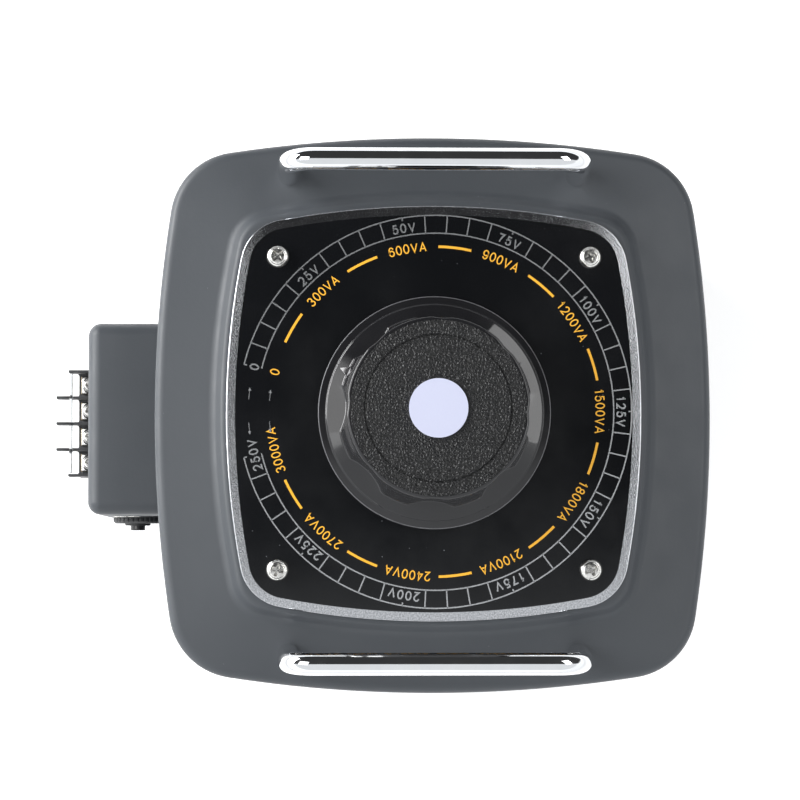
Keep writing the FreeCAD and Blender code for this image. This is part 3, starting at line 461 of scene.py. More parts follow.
class Finish(Nodes):
    """One procedural material. The values are constants of its shader."""

    def __init__(self, name, **values):
        self.material = bpy.data.materials.new(name)
        self.material.use_nodes = True
        super().__init__(self.material.node_tree, "Object")
        self.shader = self.tree.nodes["Principled BSDF"]
        for key, value in values.items():
            self.shader.inputs[key.replace("_", " ")].default_value = value

    def stretched(self, x, y, z):
        inputs = {"Scale": (x, y, z), "Vector": self.place}
        return self.add("Mapping", inputs).outputs["Vector"]

    def noise(self, scale, detail, rough=0.5, where=None):
        inputs = {"Scale": scale, "Detail": detail, "Roughness": rough, "Vector": where or self.place}
        return self.add("TexNoise", inputs).outputs["Fac"]

    def cells(self, scale, feature="F1", where=None):
        inputs = {"Scale": scale, "Vector": where or self.place}
        return self.add("TexVoronoi", inputs, feature=feature).outputs["Distance"]

    def mix(self, factor, first, second):
        """A colour between two colours, each a tuple or a socket."""
        node = self.add("Mix", {"Factor": factor}, data_type="RGBA")
        for socket, colour in zip([s for s in node.inputs if s.type == "RGBA"], (first, second)):
            self.feed(socket, (*colour, 1) if isinstance(colour, tuple) else colour)
        return [s for s in node.outputs if s.type == "RGBA"][0]

    def colour(self, factor, first, second):
        self.feed(self.shader.inputs["Base Color"], self.mix(factor, first, second))

    def dust(self, base, specks, rare, tone):
        """The base colour with specks of a tone, in a few places only."""
        self.colour(self.maths("MULTIPLY", specks, rare), base, tone)

    def rough(self, cloud, low, high, start, end):
        """A roughness from start to end between two levels of a cloud."""
        self.feed(self.shader.inputs["Roughness"], self.ramp(cloud, low, high, start, end))

    def bump(self, height, depth, under=None):
        """Raises the surface by height times depth metres, over an earlier bump if there is one."""
        node = self.add("Bump", {"Strength": 1.0, "Distance": depth, "Height": height})
        if under:
            self.feed(node.inputs["Normal"], under)
        self.feed(self.shader.inputs["Normal"], node.outputs["Normal"])
        return node.outputs["Normal"]


def grey_paint():
    """Semi-matt stoved enamel: fine orange peel, slight mottling and a few specks of dust."""
    f = Finish("grey_paint", Roughness=0.42)
    mottle = f.noise(18, 3)
    base = f.mix(f.ramp(mottle, 0.35, 0.65), (0.051, 0.057, 0.065), (0.056, 0.062, 0.07))
    rare = f.ramp(f.noise(60, 2), 0.62, 0.66)
    f.dust(base, f.ramp(f.cells(420), 0.05, 0.035), rare, (0.3, 0.31, 0.32))
    f.rough(f.noise(90, 4), 0.3, 0.7, 0.44, 0.54)
    peel = f.bump(f.noise(900, 2), 0.00003)
    f.bump(f.noise(140, 2), 0.00006, peel)
    return f.material


def dial_print():
    """Glossy black screen print with a hint of blue, faint smears and dust."""
    f = Finish("dial_black", Roughness=0.1, Coat_Weight=0.4, Coat_Roughness=0.04)
    base = f.mix(f.noise(14, 3), (0.0035, 0.004, 0.005), (0.0055, 0.006, 0.007))
    rare = f.ramp(f.noise(45, 2), 0.6, 0.66)
    f.dust(base, f.ramp(f.cells(300), 0.07, 0.04), rare, (0.16, 0.17, 0.18))
    f.rough(f.noise(25, 5, 0.6), 0.35, 0.7, 0.08, 0.2)
    f.bump(f.noise(60, 2), 0.00001)
    return f.material


def dial_metal():
    """Satin aluminium of the dial plate, with the fine sparkle of its rolled surface."""
    f = Finish("dial_metal", Metallic=1.0, Roughness=0.3)
    grain = f.noise(1700, 3, 0.75)
    blotch = f.noise(420, 3, 0.6)
    f.colour(f.ramp(grain, 0.35, 0.65), (0.36, 0.37, 0.39), (0.66, 0.67, 0.69))
    f.rough(blotch, 0.3, 0.7, 0.07, 0.15)
    f.bump(grain, 0.00004)
    return f.material


def chrome():
    """Bright nickel-chrome plate with faint haze, fine scratches and the ripple of a bent rod."""
    f = Finish("chrome", Metallic=1.0, Roughness=0.04)
    haze = f.noise(120, 4, 0.6)
    f.colour(haze, (0.74, 0.75, 0.77), (0.84, 0.85, 0.86))
    f.rough(haze, 0.4, 0.75, 0.03, 0.14)
    ripple = f.bump(f.noise(60, 2), 0.00003)
    f.bump(f.noise(700, 2, 0.5, f.stretched(1, 0.06, 1)), 0.000006, ripple)
    return f.material


def plain(name, first, second, mottle, grain, gloss, values):
    """Two close tones in a mottle, over a fine grain, with the values of the shader.

    mottle is a noise; grain is a noise and its depth; gloss, if any, is a noise, two of its levels and the
    roughness at each."""
    f = Finish(name, **values)
    f.colour(f.noise(*mottle), first, second)
    if gloss:
        f.rough(f.noise(*gloss[0]), *gloss[1:])
    f.bump(f.noise(*grain[0]), grain[1])
    return f.material


def plated_steel(name, tint, rough_low, rough_high):
    """Zinc or nickel plated steel with cloudy brightness and small nicks."""
    f = Finish(name, Metallic=1.0, Roughness=rough_low)
    cloud = f.noise(380, 4, 0.6)
    dark = tuple(0.62 * c for c in tint)
    f.colour(f.ramp(cloud, 0.3, 0.6), dark, tint)
    f.rough(cloud, 0.35, 0.7, rough_low, rough_high)
    f.bump(f.noise(1500, 2), 0.00003)
    return f.material


def core_steel():
    """Wound strip core: hundreds of thin edges of silicon steel."""
    f = Finish("core_steel", Metallic=0.9, Roughness=0.4)
    level = {0: f.stretched(1, 1, 0), 1: (AXIS.x, AXIS.y, 0)}
    away = f.add("VectorMath", level, operation="SUBTRACT").outputs["Vector"]
    radius = f.add("VectorMath", {0: away}, operation="LENGTH").outputs["Value"]
    strips = f.maths("SINE", f.maths("MULTIPLY", radius, 12000.0))
    f.colour(f.ramp(strips, -1.0, 1.0), (0.16, 0.16, 0.17), (0.38, 0.38, 0.39))
    f.rough(f.noise(200, 3), 0.3, 0.7, 0.32, 0.5)
    f.bump(strips, 0.00004)
    return f.material


def leather_grain():
    """The knob's top: the same moulding with a fine leather grain, its crevices painted darker as painted
    shade.
    """
    f = Finish("knob_grain", Roughness=0.3)
    swirl = f.add("TexNoise", {"Scale": 900, "Vector": f.place}).outputs["Color"]
    drift = {0: swirl, 1: (0.0011, 0.0011, 0.0), 2: f.place}
    warped = f.add("VectorMath", drift, operation="MULTIPLY_ADD").outputs["Vector"]
    pebbles = f.cells(950, "DISTANCE_TO_EDGE", warped)
    height = f.ramp(pebbles, 0.05, 0.32)
    # Painted shade: near black down in the crevices, lighter grey on the pebble tops.
    f.colour(height, (0.0006, 0.0006, 0.0008), (0.017, 0.017, 0.019))
    f.rough(height, 0.0, 1.0, 0.6, 0.2)
    f.bump(height, 0.0012)
    return f.material


def clear_strip():
    """Clear acrylic."""
    f = Finish("clear_strip", Roughness=0.03, IOR=1.49, Transmission_Weight=1.0)
    f.shader.inputs["Base Color"].default_value = (0.66, 0.68, 0.69, 1)
    f.rough(f.noise(120, 4), 0.45, 0.8, 0.02, 0.14)
    f.bump(f.noise(50, 2), 0.00002)
    return f.material


def metal(name, light, dark, rough_low, rough_high, grain=500, depth=0.00003):
    """A bare metal with slight tarnish."""
    f = Finish(name, Metallic=1.0, Roughness=rough_low)
    tarnish = f.noise(90, 5, 0.6)
    f.colour(f.ramp(tarnish, 0.35, 0.7), light, dark)
    f.rough(tarnish, 0.3, 0.7, rough_low, rough_high)
    f.bump(f.noise(grain, 3), depth)
    return f.material


def enamelled_copper():
    """Varnished copper wire, rubbed bare where the brush runs along the top."""
    f = Finish("enamelled_copper", Metallic=0.85, Coat_Weight=0.6, Coat_Roughness=0.12, Roughness=0.3)
    wire = f.mix(f.ramp(f.noise(260, 3), 0.3, 0.7), (0.42, 0.12, 0.035), (0.6, 0.2, 0.06))
    height = f.add("SeparateXYZ", {"Vector": f.place}).outputs["Z"]
    track = f.ramp(height, top("winding") - 0.5 * MM, top("winding") - 0.3 * MM)
    f.colour(track, wire, (0.88, 0.5, 0.3))
    f.rough(f.noise(400, 3), 0.3, 0.7, 0.22, 0.4)
    f.bump(f.noise(900, 2), 0.00002)
    return f.material


def moulded(name, low, high, rough_low, rough_high, grain=600, depth=0.00006):
    """A moulded or pressed non-metal with a fine texture."""
    f = Finish(name, Roughness=rough_low)
    f.colour(f.ramp(f.noise(120, 4), 0.3, 0.7), low, high)
    f.rough(f.noise(200, 3), 0.3, 0.7, rough_low, rough_high)
    f.bump(f.noise(grain, 3), depth)
    return f.material


def fibre_board():
    """Pressed board: layered fibres with a warm mottle."""
    f = Finish("pressboard", Roughness=0.8)
    fibres = f.noise(700, 4, 0.7, f.stretched(1, 0.25, 1))
    f.colour(f.ramp(fibres, 0.3, 0.7), (0.3, 0.19, 0.1), (0.46, 0.32, 0.19))
    f.rough(fibres, 0.3, 0.7, 0.7, 0.9)
    f.bump(fibres, 0.00006)
    return f.material


def built(maker, table):
    return {name: maker(name, *values) for name, values in table.items()}


FINISHES = {
    "grey_paint": grey_paint(),
    "dial_print": dial_print(),
    "dial_metal": dial_metal(),
    "chrome": chrome(),
    "core_steel": core_steel(),
    "knob_grain": leather_grain(),
    "clear_strip": clear_strip(),
    "enamelled_copper": enamelled_copper(),
    "pressboard": fibre_board(),
    **built(plated_steel, {
        "zinc_steel": ((0.86, 0.85, 0.82), 0.12, 0.26),
        "bare_steel": ((0.58, 0.57, 0.55), 0.25, 0.42),
    }),
    **built(metal, {
        "brass": ((0.8, 0.58, 0.25), (0.55, 0.38, 0.16), 0.22, 0.42),
        "bronze": ((0.62, 0.4, 0.22), (0.42, 0.26, 0.14), 0.3, 0.5),
        "cast_aluminium": ((0.62, 0.63, 0.64), (0.45, 0.46, 0.47), 0.4, 0.6, 900, 0.00012),
    }),
    **built(moulded, {
        "phenolic": ((0.07, 0.03, 0.015), (0.11, 0.05, 0.025), 0.35, 0.5),
        "nylon": ((0.62, 0.6, 0.54), (0.7, 0.68, 0.62), 0.4, 0.55),
        "carbon": ((0.01, 0.01, 0.011), (0.03, 0.03, 0.032), 0.5, 0.7, 1500),
        "red_cable": ((0.42, 0.02, 0.015), (0.5, 0.03, 0.02), 0.32, 0.45, 300, 0.00002),
        "blue_cable": ((0.015, 0.06, 0.36), (0.02, 0.08, 0.42), 0.32, 0.45, 300, 0.00002),
    }),
    **built(plain, {
        # Lines and figures left bare in the black print, so that the plate's aluminium shows
        "print_silver": ((0.74, 0.75, 0.77), (0.9, 0.91, 0.93), (900, 3), ((1800, 2), 0.00001),
            None, {"Metallic": 1.0, "Roughness": 0.24}),
        "print_yellow": ((0.92, 0.44, 0.022), (0.98, 0.5, 0.035), (700, 3), ((1500, 2), 0.00001),
            None, {"Roughness": 0.42}),
        # The knob's polished moulding, and a lighter grey for its outer edge: a painted highlight along the
        # flange's rounded rim
        "black_gloss": ((0.01, 0.01, 0.011), (0.016, 0.016, 0.018), (40, 3), ((120, 2), 0.00002),
            ((50, 5, 0.6), 0.35, 0.7, 0.1, 0.2),
            {"Roughness": 0.12, "Coat_Weight": 0.25, "Coat_Roughness": 0.05}),
        "knob_edge": ((0.05, 0.05, 0.055), (0.16, 0.16, 0.17), (260, 4), ((900, 2), 0.00002),
            ((90, 4), 0.3, 0.7, 0.22, 0.42), {"Roughness": 0.3}),
        # Slightly matt plastic of the terminal block and the breaker
        "black_moulding": ((0.022, 0.023, 0.025), (0.045, 0.046, 0.048), (220, 3), ((1400, 3), 0.00005),
            ((160, 4), 0.3, 0.7, 0.34, 0.52), {"Roughness": 0.42}),
        "rubber": ((0.012, 0.012, 0.012), (0.028, 0.027, 0.026), (150, 4), ((1500, 3), 0.00008),
            ((80, 3), 0.3, 0.7, 0.7, 0.9), {"Roughness": 0.8}),
        "label_paper": ((0.56, 0.58, 0.74), (0.6, 0.62, 0.78), (1200, 4, 0.7), ((2400, 3), 0.00001),
            ((500, 3), 0.3, 0.7, 0.42, 0.6), {"Roughness": 0.5}),
    }),
}


def finish_cad_nodes():
    """Gives every CAD node the finish of its slot. The dial plate itself is bare metal under its print."""
    for name, node in frame["nodes"].items():
        for slot in node.material_slots:
            finish = "dial_metal" if name == "dial_plate" else slot.material.name.split(".")[0]
            slot.material = FINISHES[finish]


# ---- case

def top_cover():
    """Pressed cover: skirt, rounded rim, sloping shoulder, step and the plateau under the dial plate."""
    low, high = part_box("top_cover")
    rim = high.z - 6.1 * MM
    step = high.z - 4.5 * MM
    edge = 3.5 * MM
    sheet = 1.2 * MM
    hole = 13.0 * MM
    plateau = outline_row(PLATEAU, 0, high.z)
    under = outline_row(PLATEAU, -sheet, high.z - sheet)
    rim_round = [
        outline_row(CASE, -edge * (1 - cos(turn)), rim - edge + edge * sin(turn))
        for turn in [pi / 2 * i / 8 for i in range(9)]
    ]
    rows = [
        outline_row(CASE, 0, low.z),
        *rim_round,
        outline_row(PLATEAU, 3.3 * MM, step),
        plateau,
        circle_like(plateau, hole, high.z),
        circle_like(under, hole, high.z - sheet),
        under,
        outline_row(PLATEAU, 2.7 * MM, step - sheet),
        outline_row(CASE, -edge, rim - sheet),
        outline_row(CASE, -sheet, rim - sheet - edge),
        outline_row(CASE, -sheet, low.z),
    ]
    cuts = [0.2 * MM] + [0] * len(rim_round) + [1.9 * MM, 1.3 * MM] + [0] * 6 + [0.2 * MM]
    cover = skin(eased(rows, cuts), looped=True).placed(TO_AXIS)
    make_piece("top_cover_shell", cover, "grey_paint", ["top_cover"], 40)


# ---- dial

INK_Z = PLATE_TOP + 0.06 * MM
INK_TOP = INK_Z + 0.04 * MM
PRINT_SHIFT = Matrix.Translation((-0.65 * MM, 0.45 * MM, 0))
ON_PRINT = TO_AXIS @ PRINT_SHIFT
GAP_HALF = 13.7
ZERO_ANGLE = FRONT - GAP_HALF
DEGREES_PER_VOLT = (360 - 2 * GAP_HALF) / 250
RING_OUT = 71.1 * MM
RING_IN = 64.6 * MM
LINE = 0.46 * MM
POWER_R = 59.7 * MM
VOLTS_R = (RING_IN + RING_OUT) / 2 - 0.55 * MM
DASH_WIDTH = 0.92 * MM
DASH_SWEEP = 11.5
FIGURE_H = 3.5 * MM
STROKE_LIFT = 0.002 * MM


def volt_angle(volts):
    return ZERO_ANGLE - volts * DEGREES_PER_VOLT


def dial_panel():
    """The black printed area, a thin film on the metal plate with a bare border left round it."""
    border = 3.3 * MM
    hole = 14 * MM
    edge = outline_row(DIAL, -border - 0.02 * MM, INK_Z)
    rows = [outline_row(DIAL, -border, PLATE_TOP), edge]
    rows += [circle_like(edge, hole, INK_Z), circle_like(edge, hole, PLATE_TOP)]
    make_piece("dial_black_print", skin(rows, looped=True).placed(TO_AXIS), "dial_print")


def dial_edge():
    """The plate itself, its cut edge rounded over, standing for the CAD plate."""
    hole = 13 * MM
    low = outline_row(DIAL, 0, PLATEAU_Z)
    high = outline_row(DIAL, 0, PLATE_TOP)
    rows = [low, high, circle_like(high, hole, PLATE_TOP), circle_like(low, hole, PLATEAU_Z)]
    plate = skin(eased(rows, [0, 0.5 * MM, 0, 0]), looped=True)
    make_piece("dial_plate_rounded", plate.placed(TO_AXIS), "dial_metal", ["dial_plate"], 40)


def band(radius, width, start, sweep):
    """A flat arc printed on the panel."""
    inner = radius - width / 2
    outer = radius + width / 2
    steps = max(3, ceil(abs(sweep) / 1.5))
    rows = []
    for step in range(steps + 1):
        angle = start + sweep * step / steps
        rows.append([polar(inner, angle, INK_Z), polar(outer, angle, INK_Z),
                     polar(outer, angle, INK_TOP), polar(inner, angle, INK_TOP)])
    return skin(rows, ends=True)


def tick(angle, inner, outer):
    """A straight radial line."""
    bar = slab((inner, outer), (-LINE / 2, LINE / 2), (INK_Z, INK_TOP))
    return bar.placed(about_z(angle))


def arc(x, y, across, up, start, end, steps=14):
    """Points along part of an ellipse, in a cell one unit wide and one high."""
    angles = [radians(start + (end - start) * i / steps) for i in range(steps + 1)]
    return [(x + across * cos(a), y + up * sin(a)) for a in angles]


# Middle lines of the strokes of each plain block character, in a unit cell
STROKES = {
    "0": [arc(0.5, 0.5, 0.5, 0.5, 90, 450, 32)],
    "1": [[(0.1, 0.74), (0.36, 0.82), (0.56, 1.0), (0.6, 1.0), (0.6, 0.0)]],
    "2": [arc(0.5, 0.7, 0.48, 0.3, 172, -28) + [(0.7, 0.36), (0.22, 0.1), (0.06, 0.0), (1.0, 0.0)]],
    "3": [arc(0.47, 0.75, 0.42, 0.25, 165, -88), arc(0.47, 0.26, 0.5, 0.26, 90, -165)],
    "4": [[(0.72, 0.0), (0.72, 1.0), (0.02, 0.27), (1.0, 0.27)]],
    "5": [[(0.9, 1.0), (0.22, 1.0), (0.1, 0.5)] + arc(0.48, 0.32, 0.5, 0.33, 142, -165)],
    "6": [arc(0.53, 0.66, 0.45, 0.34, 22, 172) + arc(0.5, 0.31, 0.48, 0.31, 180, 540, 28)],
    "7": [[(0.0, 1.0), (1.0, 1.0), (0.66, 0.62), (0.46, 0.28), (0.38, 0.0)]],
    "8": [arc(0.5, 0.76, 0.41, 0.24, -90, 270, 24), arc(0.5, 0.27, 0.49, 0.27, -90, 270, 28)],
    "9": [arc(0.47, 0.34, 0.45, 0.34, 202, 352) + arc(0.5, 0.69, 0.48, 0.31, 0, 360, 28)],
    "V": [[(0.0, 1.0), (0.5, 0.0), (1.0, 1.0)]],
    "A": [[(0.0, 0.0), (0.5, 1.0), (1.0, 0.0)], [(0.2, 0.32), (0.8, 0.32)]],
}
WIDE = {"V": 0.62, "A": 0.62, "1": 0.36}


def ribbon(path, width, lift):
    """A flat stroke along a path, mitred where it turns. The lift sets crossing strokes apart in height."""
    path = [Vector(point) for i, point in enumerate(path) if not i or Vector(point) != Vector(path[i - 1])]
    closed = (path[0] - path[-1]).length < 0.01 * width
    if closed:
        path = path[:-1]
    rows = []
    for before, here, after in with_neighbours(path, closed):
        back = (here - before).normalized() if here != before else (after - here).normalized()
        ahead = (after - here).normalized() if after != here else back
        side = (back + ahead).normalized()
        side = Vector((-side.y, side.x))
        reach = width / 2 / max(0.42, side.dot(Vector((-ahead.y, ahead.x))))
        left, right = here + side * reach, here - side * reach
        high = INK_TOP + lift
        rows.append([(*right, INK_Z), (*left, INK_Z), (*left, high), (*right, high)])
    return skin(rows, looped=closed, ends=not closed)


def character(name, weight):
    """One character standing on the X axis, with its width."""
    stroke = FIGURE_H * weight
    wide = WIDE.get(name, 0.50) * FIGURE_H
    form = Form()
    for i, path in enumerate(STROKES[name]):
        line = [(stroke / 2 + x * wide, stroke / 2 + y * (FIGURE_H - stroke)) for x, y in path]
        form.merge(ribbon(line, stroke, i * STROKE_LIFT))
    return form, wide + stroke


def word_on_arc(text, angle, radius, weight, gap):
    """Characters along an arc, tops outward, centred on an angle; radius is where their middles lie.

    The weight of the strokes and the gap between characters are in figure heights."""
    glyphs = [character(name, weight) for name in text]
    space = gap * FIGURE_H
    length = sum(width for form, width in glyphs) + space * (len(glyphs) - 1)
    at = -length / 2
    word = Form()
    for form, width in glyphs:
        turn = radians(angle - 90) - (at + width / 2) / radius
        place = Matrix.Rotation(turn, 4, "Z") @ Matrix.Translation((-width / 2, radius - FIGURE_H / 2, 0))
        word.merge(form, place)
        at += width + space
    return word


def arrow(radius, start, sweep):
    """A fine arrow along an arc, its head at the far end."""
    length = 1.3 * MM
    half = 0.55 * MM
    end = start + sweep
    tip = polar(radius, end + degrees(copysign(length, sweep) / radius))
    corners = [polar(radius + half, end), tip, polar(radius - half, end)]
    rows = [[(p.x, p.y, z) for p in corners] for z in (INK_Z, INK_TOP + STROKE_LIFT)]
    return band(radius, 0.2 * MM, start, sweep).merge(skin(rows, ends=True))


def volt_scale():
    """Two rings, a line every 5 V, and the figures every 25 V between them."""
    marks = Form()
    for radius in (RING_OUT, RING_IN):
        marks.merge(band(radius, LINE, volt_angle(250), 250 * DEGREES_PER_VOLT))
    for volts in range(0, 251, 5):
        inner = RING_IN if volts % 25 else RING_OUT - 1.1 * MM
        marks.merge(tick(volt_angle(volts), inner, RING_OUT))
    for volts in range(0, 251, 25):
        text = f"{volts}V" if volts else "0"
        marks.merge(word_on_arc(text, volt_angle(volts), VOLTS_R, 0.15, 0.19))
    for radius in (67.5 * MM, POWER_R + 0.3 * MM):
        for way in (1, -1):
            marks.merge(arrow(radius, FRONT + 3.6 * way, 2.6 * way))
    make_piece("dial_volt_scale", marks.placed(ON_PRINT), "print_silver")


def power_scale():
    """The yellow figures of the power that each setting may carry, with a dash between each pair."""
    marks = Form()
    for i in range(11):
        angle = volt_angle(25 * i)
        text = f"{300 * i}VA" if i else "0"
        marks.merge(word_on_arc(text, angle, POWER_R, 0.128, 0.15))
        if i < 10:
            start = angle - 12.5 * DEGREES_PER_VOLT - DASH_SWEEP / 2
            marks.merge(band(POWER_R, DASH_WIDTH, start, DASH_SWEEP))
    make_piece("dial_power_scale", marks.placed(ON_PRINT), "print_yellow")


# ---- knob

LOBES = 8
FLANGE_R = 42.0 * MM
SKIRT_R = 39.2 * MM
GRIP_Z = KNOB_Z + 4.9 * MM
GRIP_LOW_R = 34.2 * MM
GRIP_TOP_R = 32.2 * MM
VALLEY_R = 31.7 * MM
SCALLOP_R = 20 * MM
GRAIN_R = 31.0 * MM
GRAIN_Z = KNOB_TOP - 0.6 * MM
KNOB_STEPS = 576


def grip_radius(cone, angle):
    """Radius of the grip where a cone of eight broad lobes is hollowed by a round between each pair."""
    step = 2 * pi / LOBES
    off = (angle % step) - step / 2
    centre = VALLEY_R + SCALLOP_R
    inside = SCALLOP_R ** 2 - (centre * sin(off)) ** 2
    if inside <= 0:
        return cone
    hollow = centre * cos(off) - sqrt(inside)
    soft = 0.35 * MM
    gap = max(-1.0, min(1.0, (cone - hollow) / soft))
    return min(cone, hollow) - soft * (1 - abs(gap)) ** 2 / 4


def knob_row(radius, z, grip):
    points = []
    for i in range(KNOB_STEPS):
        angle = 2 * pi * i / KNOB_STEPS
        reach = grip_radius(radius, angle) if grip else radius
        points.append(Vector((reach * cos(angle), reach * sin(angle), z)))
    return points


def knob_moulding():
    """Flange, shallow skirt and scalloped grip as one skin, with the pointer wedge standing on the skirt."""
    flange = KNOB_Z + 3 * MM
    hub = 13 * MM
    bore = 9 * MM
    well = 8 * MM
    screw_hole = 3.2 * MM
    ceiling = KNOB_TOP - 3 * MM
    seat = top("shaft")
    grip_low = GRIP_LOW_R + 0.25 * MM
    corners = [
        (bore, KNOB_Z, 0.2), (hub, KNOB_Z, 0.4), (hub, ceiling, 0.8),
        (28.9 * MM, ceiling, 0.8), (29.1 * MM, KNOB_Z, 0.4),
        (FLANGE_R, KNOB_Z, 0.6),
        (FLANGE_R, flange, 0.35),
        (SKIRT_R, flange, 0.3),
        (SKIRT_R - 0.3 * MM, flange + 0.7 * MM, 0.3),
        (grip_low, GRIP_Z - 0.1 * MM, 0.8),
        (GRIP_TOP_R, KNOB_TOP - 0.05 * MM, 0.7),
        (GRAIN_R, KNOB_TOP, 0), (GRAIN_R, GRAIN_Z, 0), (well, GRAIN_Z, 0), (well, seat + 7 * MM, 0),
        (screw_hole, seat + 7 * MM, 0), (screw_hole, seat, 0), (bore, seat, 0),
    ]
    rows = [knob_row(radius, z, radius in (grip_low, GRIP_TOP_R)) for radius, z, cut in corners]
    form = skin(eased(rows, [cut * MM for radius, z, cut in corners]), looped=True)
    form.merge(pointer_wedge())
    spin = TO_AXIS @ about_z(POINTER)
    knob = make_piece("knob_moulding", form.placed(spin), "black_gloss", ["knob"], 30, "rotor")
    paint_edge_highlight(knob)
    make_piece("knob_top_grain", grain_disc().placed(spin), "knob_grain", [], 30, "rotor")


def paint_edge_highlight(knob):
    """Gives the rounded outer edge of the flange a lighter grey finish, a painted highlight along the rim."""
    knob.data.materials.append(FINISHES["knob_edge"])
    for face in knob.data.polygons:
        reach = (face.center - AXIS).to_2d().length
        # Faces on the flange's rounded rim take the lighter grey: painted highlight.
        rubbed = reach > FLANGE_R - 0.32 * MM and KNOB_Z + 3.1 * MM > face.center.z > KNOB_Z + 2.6 * MM
        face.material_index = 1 if rubbed else 0


def grain_disc():
    """The grained top, set into the moulding, with its thin groove."""
    inner = 8.0 * MM
    groove = 25.8 * MM
    face = KNOB_TOP - 0.02 * MM
    corners = [
        (inner, GRAIN_Z, 0),
        (GRAIN_R, GRAIN_Z, 0),
        (GRAIN_R, face, 0.15 * MM),
        (groove + 0.4 * MM, face, 0.12 * MM),
        (groove, KNOB_TOP - 0.35 * MM, 0.15 * MM),
        (groove - 0.4 * MM, face, 0.12 * MM),
        (inner, face, 0.1 * MM),
    ]
    return turned(corners, 192, looped=True)


def pointer_wedge():
    """Raised arrow on the skirt, in front of one lobe, falling towards its tip."""
    tip = SKIRT_R - 1.2 * MM
    root = GRIP_LOW_R - 2.5 * MM
    half = (tip - root) * tan(radians(28))
    floor = KNOB_Z + 3.2 * MM
    crest = GRIP_Z + 3.5 * MM
    points = [
        (tip, 0, floor), (root, half, floor), (root, -half, floor),
        (tip, 0, KNOB_Z + 5 * MM), (root, half, crest), (root, -half, crest),
    ]
    wedge = to_bmesh(points, ((2, 1, 0), (3, 4, 5), (0, 1, 4, 3), (1, 2, 5, 4), (2, 0, 3, 5)))
    bevel(wedge, wedge.edges[:], 0.25 * MM)
    return from_bmesh(wedge)


# ---- handles and screws

def handle(name, turn):
    """Chromed bar bent at both ends, leaning outwards a little, with its threaded studs under the cover."""
    low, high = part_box(name)
    radius = 4.1 * MM
    lean = radians(6)
    rise = 26 * MM
    sunk = -0.6 * MM
    stud_r = 3 * MM
    stud_low = -9.5 * MM
    leg = (high.y - low.y) / 2 - radius
    foot = Vector((87.1 * MM, 0, top("top_cover") - 5.5 * MM))
    corners = [Vector((0, y, z)) for y, z in ((-leg, sunk), (-leg, rise), (leg, rise), (leg, sunk))]
    form = swept(bent(corners, 9 * MM, 16), radius, 48)
    for y in (-leg, leg):
        stud = turned([(0, stud_low, 0), (stud_r, stud_low, 0.4 * MM), (stud_r, 0, 0), (0, 0, 0)], 32)
        form.merge(stud, Matrix.Translation((0, y, 0)))
    place = TO_AXIS @ about_z(turn) @ Matrix.Translation(foot) @ Matrix.Rotation(lean, 4, "Y")
    make_piece(name + "_bar", form.placed(place), "chrome", [name], 40)


def cross_recess(span, width, z_top, depth):
    """A cross-shaped tool that narrows downwards, for a screw's recess."""
    rows = []
    for z, shrink in ((z_top - depth, 0.62), (z_top + 0.3 * MM, 1.08)):
        arm = span / 2 * shrink
        half = width / 2 * shrink
        quarter = [Vector((arm, -half, z)), Vector((arm, half, z)), Vector((half * 1.5, half * 1.5, z))]
        turns = [Matrix.Rotation(pi / 2 * i, 3, "Z") for i in range(4)]
        rows.append([turn @ point for turn in turns for point in quarter])
    return skin(rows, ends=True)


def pan_head(radius, height, length):
    """Pan head with a cross recess and its shank, the head standing on the XY plane."""
    shank = 2.0 * MM
    corners = [
        (0, -length, 0), (shank * 0.7, -length, 0), (shank, -length + 0.5 * MM, 0), (shank, 0, 0),
        (radius, 0, 0.12 * height), (radius, height * 0.6, 0.3 * height),
        (radius * 0.8, height * 0.93, 0.12 * height), (radius * 0.72, height * 0.86, 0.06 * height),
        (radius * 0.66, height * 0.97, 0.1 * height), (0, height, 0),
    ]
    return carved(turned(corners, 64), cross_recess(radius * 1.2, radius * 0.24, height, height * 0.7))


def screw_set(node, name, radius, seats, seed):
    """Screws standing for a CAD node, on seats of one height, each turned its own way."""
    low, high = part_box(node)
    seat = seats[0].z
    head = pan_head(radius, high.z - seat, seat - low.z)
    turns = random.Random(seed)
    screws = Form()
    for spot in seats:
        screws.merge(head, Matrix.Translation(spot) @ Matrix.Rotation(turns.uniform(0, pi), 4, "Z"))
    make_piece(name, screws, "zinc_steel", [node], 35)


def dial_screws():
    """The four screws of the dial plate."""
    radius = 4.0 * MM
    low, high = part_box("dial_screws")
    half_x = (high.x - low.x) / 2 - radius
    half_y = (high.y - low.y) / 2 - radius
    centre = (low + high) / 2
    columns = (centre.x - half_x, centre.x + half_x)
    rows = (centre.y - half_y, centre.y + half_y)
    seats = [Vector((x, y, PLATE_TOP)) for x in columns for y in rows]
    screw_set("dial_screws", "dial_screw_set", radius, seats, 4)


# ---- terminals

WALL = 1.1 * MM
SHELF_Z = bottom("terminal_washers") - 1.0 * MM
FIN_LOW = SHELF_Z - 1.5 * MM
BLOCK_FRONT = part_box("terminal_block")[0].y
END_FRONT = BLOCK_FRONT + 4.8 * MM
SHELF_FRONT = BLOCK_FRONT + 8.4 * MM
BOX_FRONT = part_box("terminal_box")[0].y
TERMINAL_Y = middle("terminal_washers").y
CLAMP_HALF = 3.4 * MM
PITCH = (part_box("terminal_washers")[1].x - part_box("terminal_washers")[0].x - 2 * CLAMP_HALF) / 3
BLOCK_X = middle("terminal_block").x
CELLS = [BLOCK_X + PITCH * (i - 1.5) for i in range(4)]
WALLS = [BLOCK_X + PITCH * (i - 2) for i in range(5)]


def wall_front(i):
    """The two end walls are shorter than the fins between them."""
    return END_FRONT if i in (0, 4) else BLOCK_FRONT


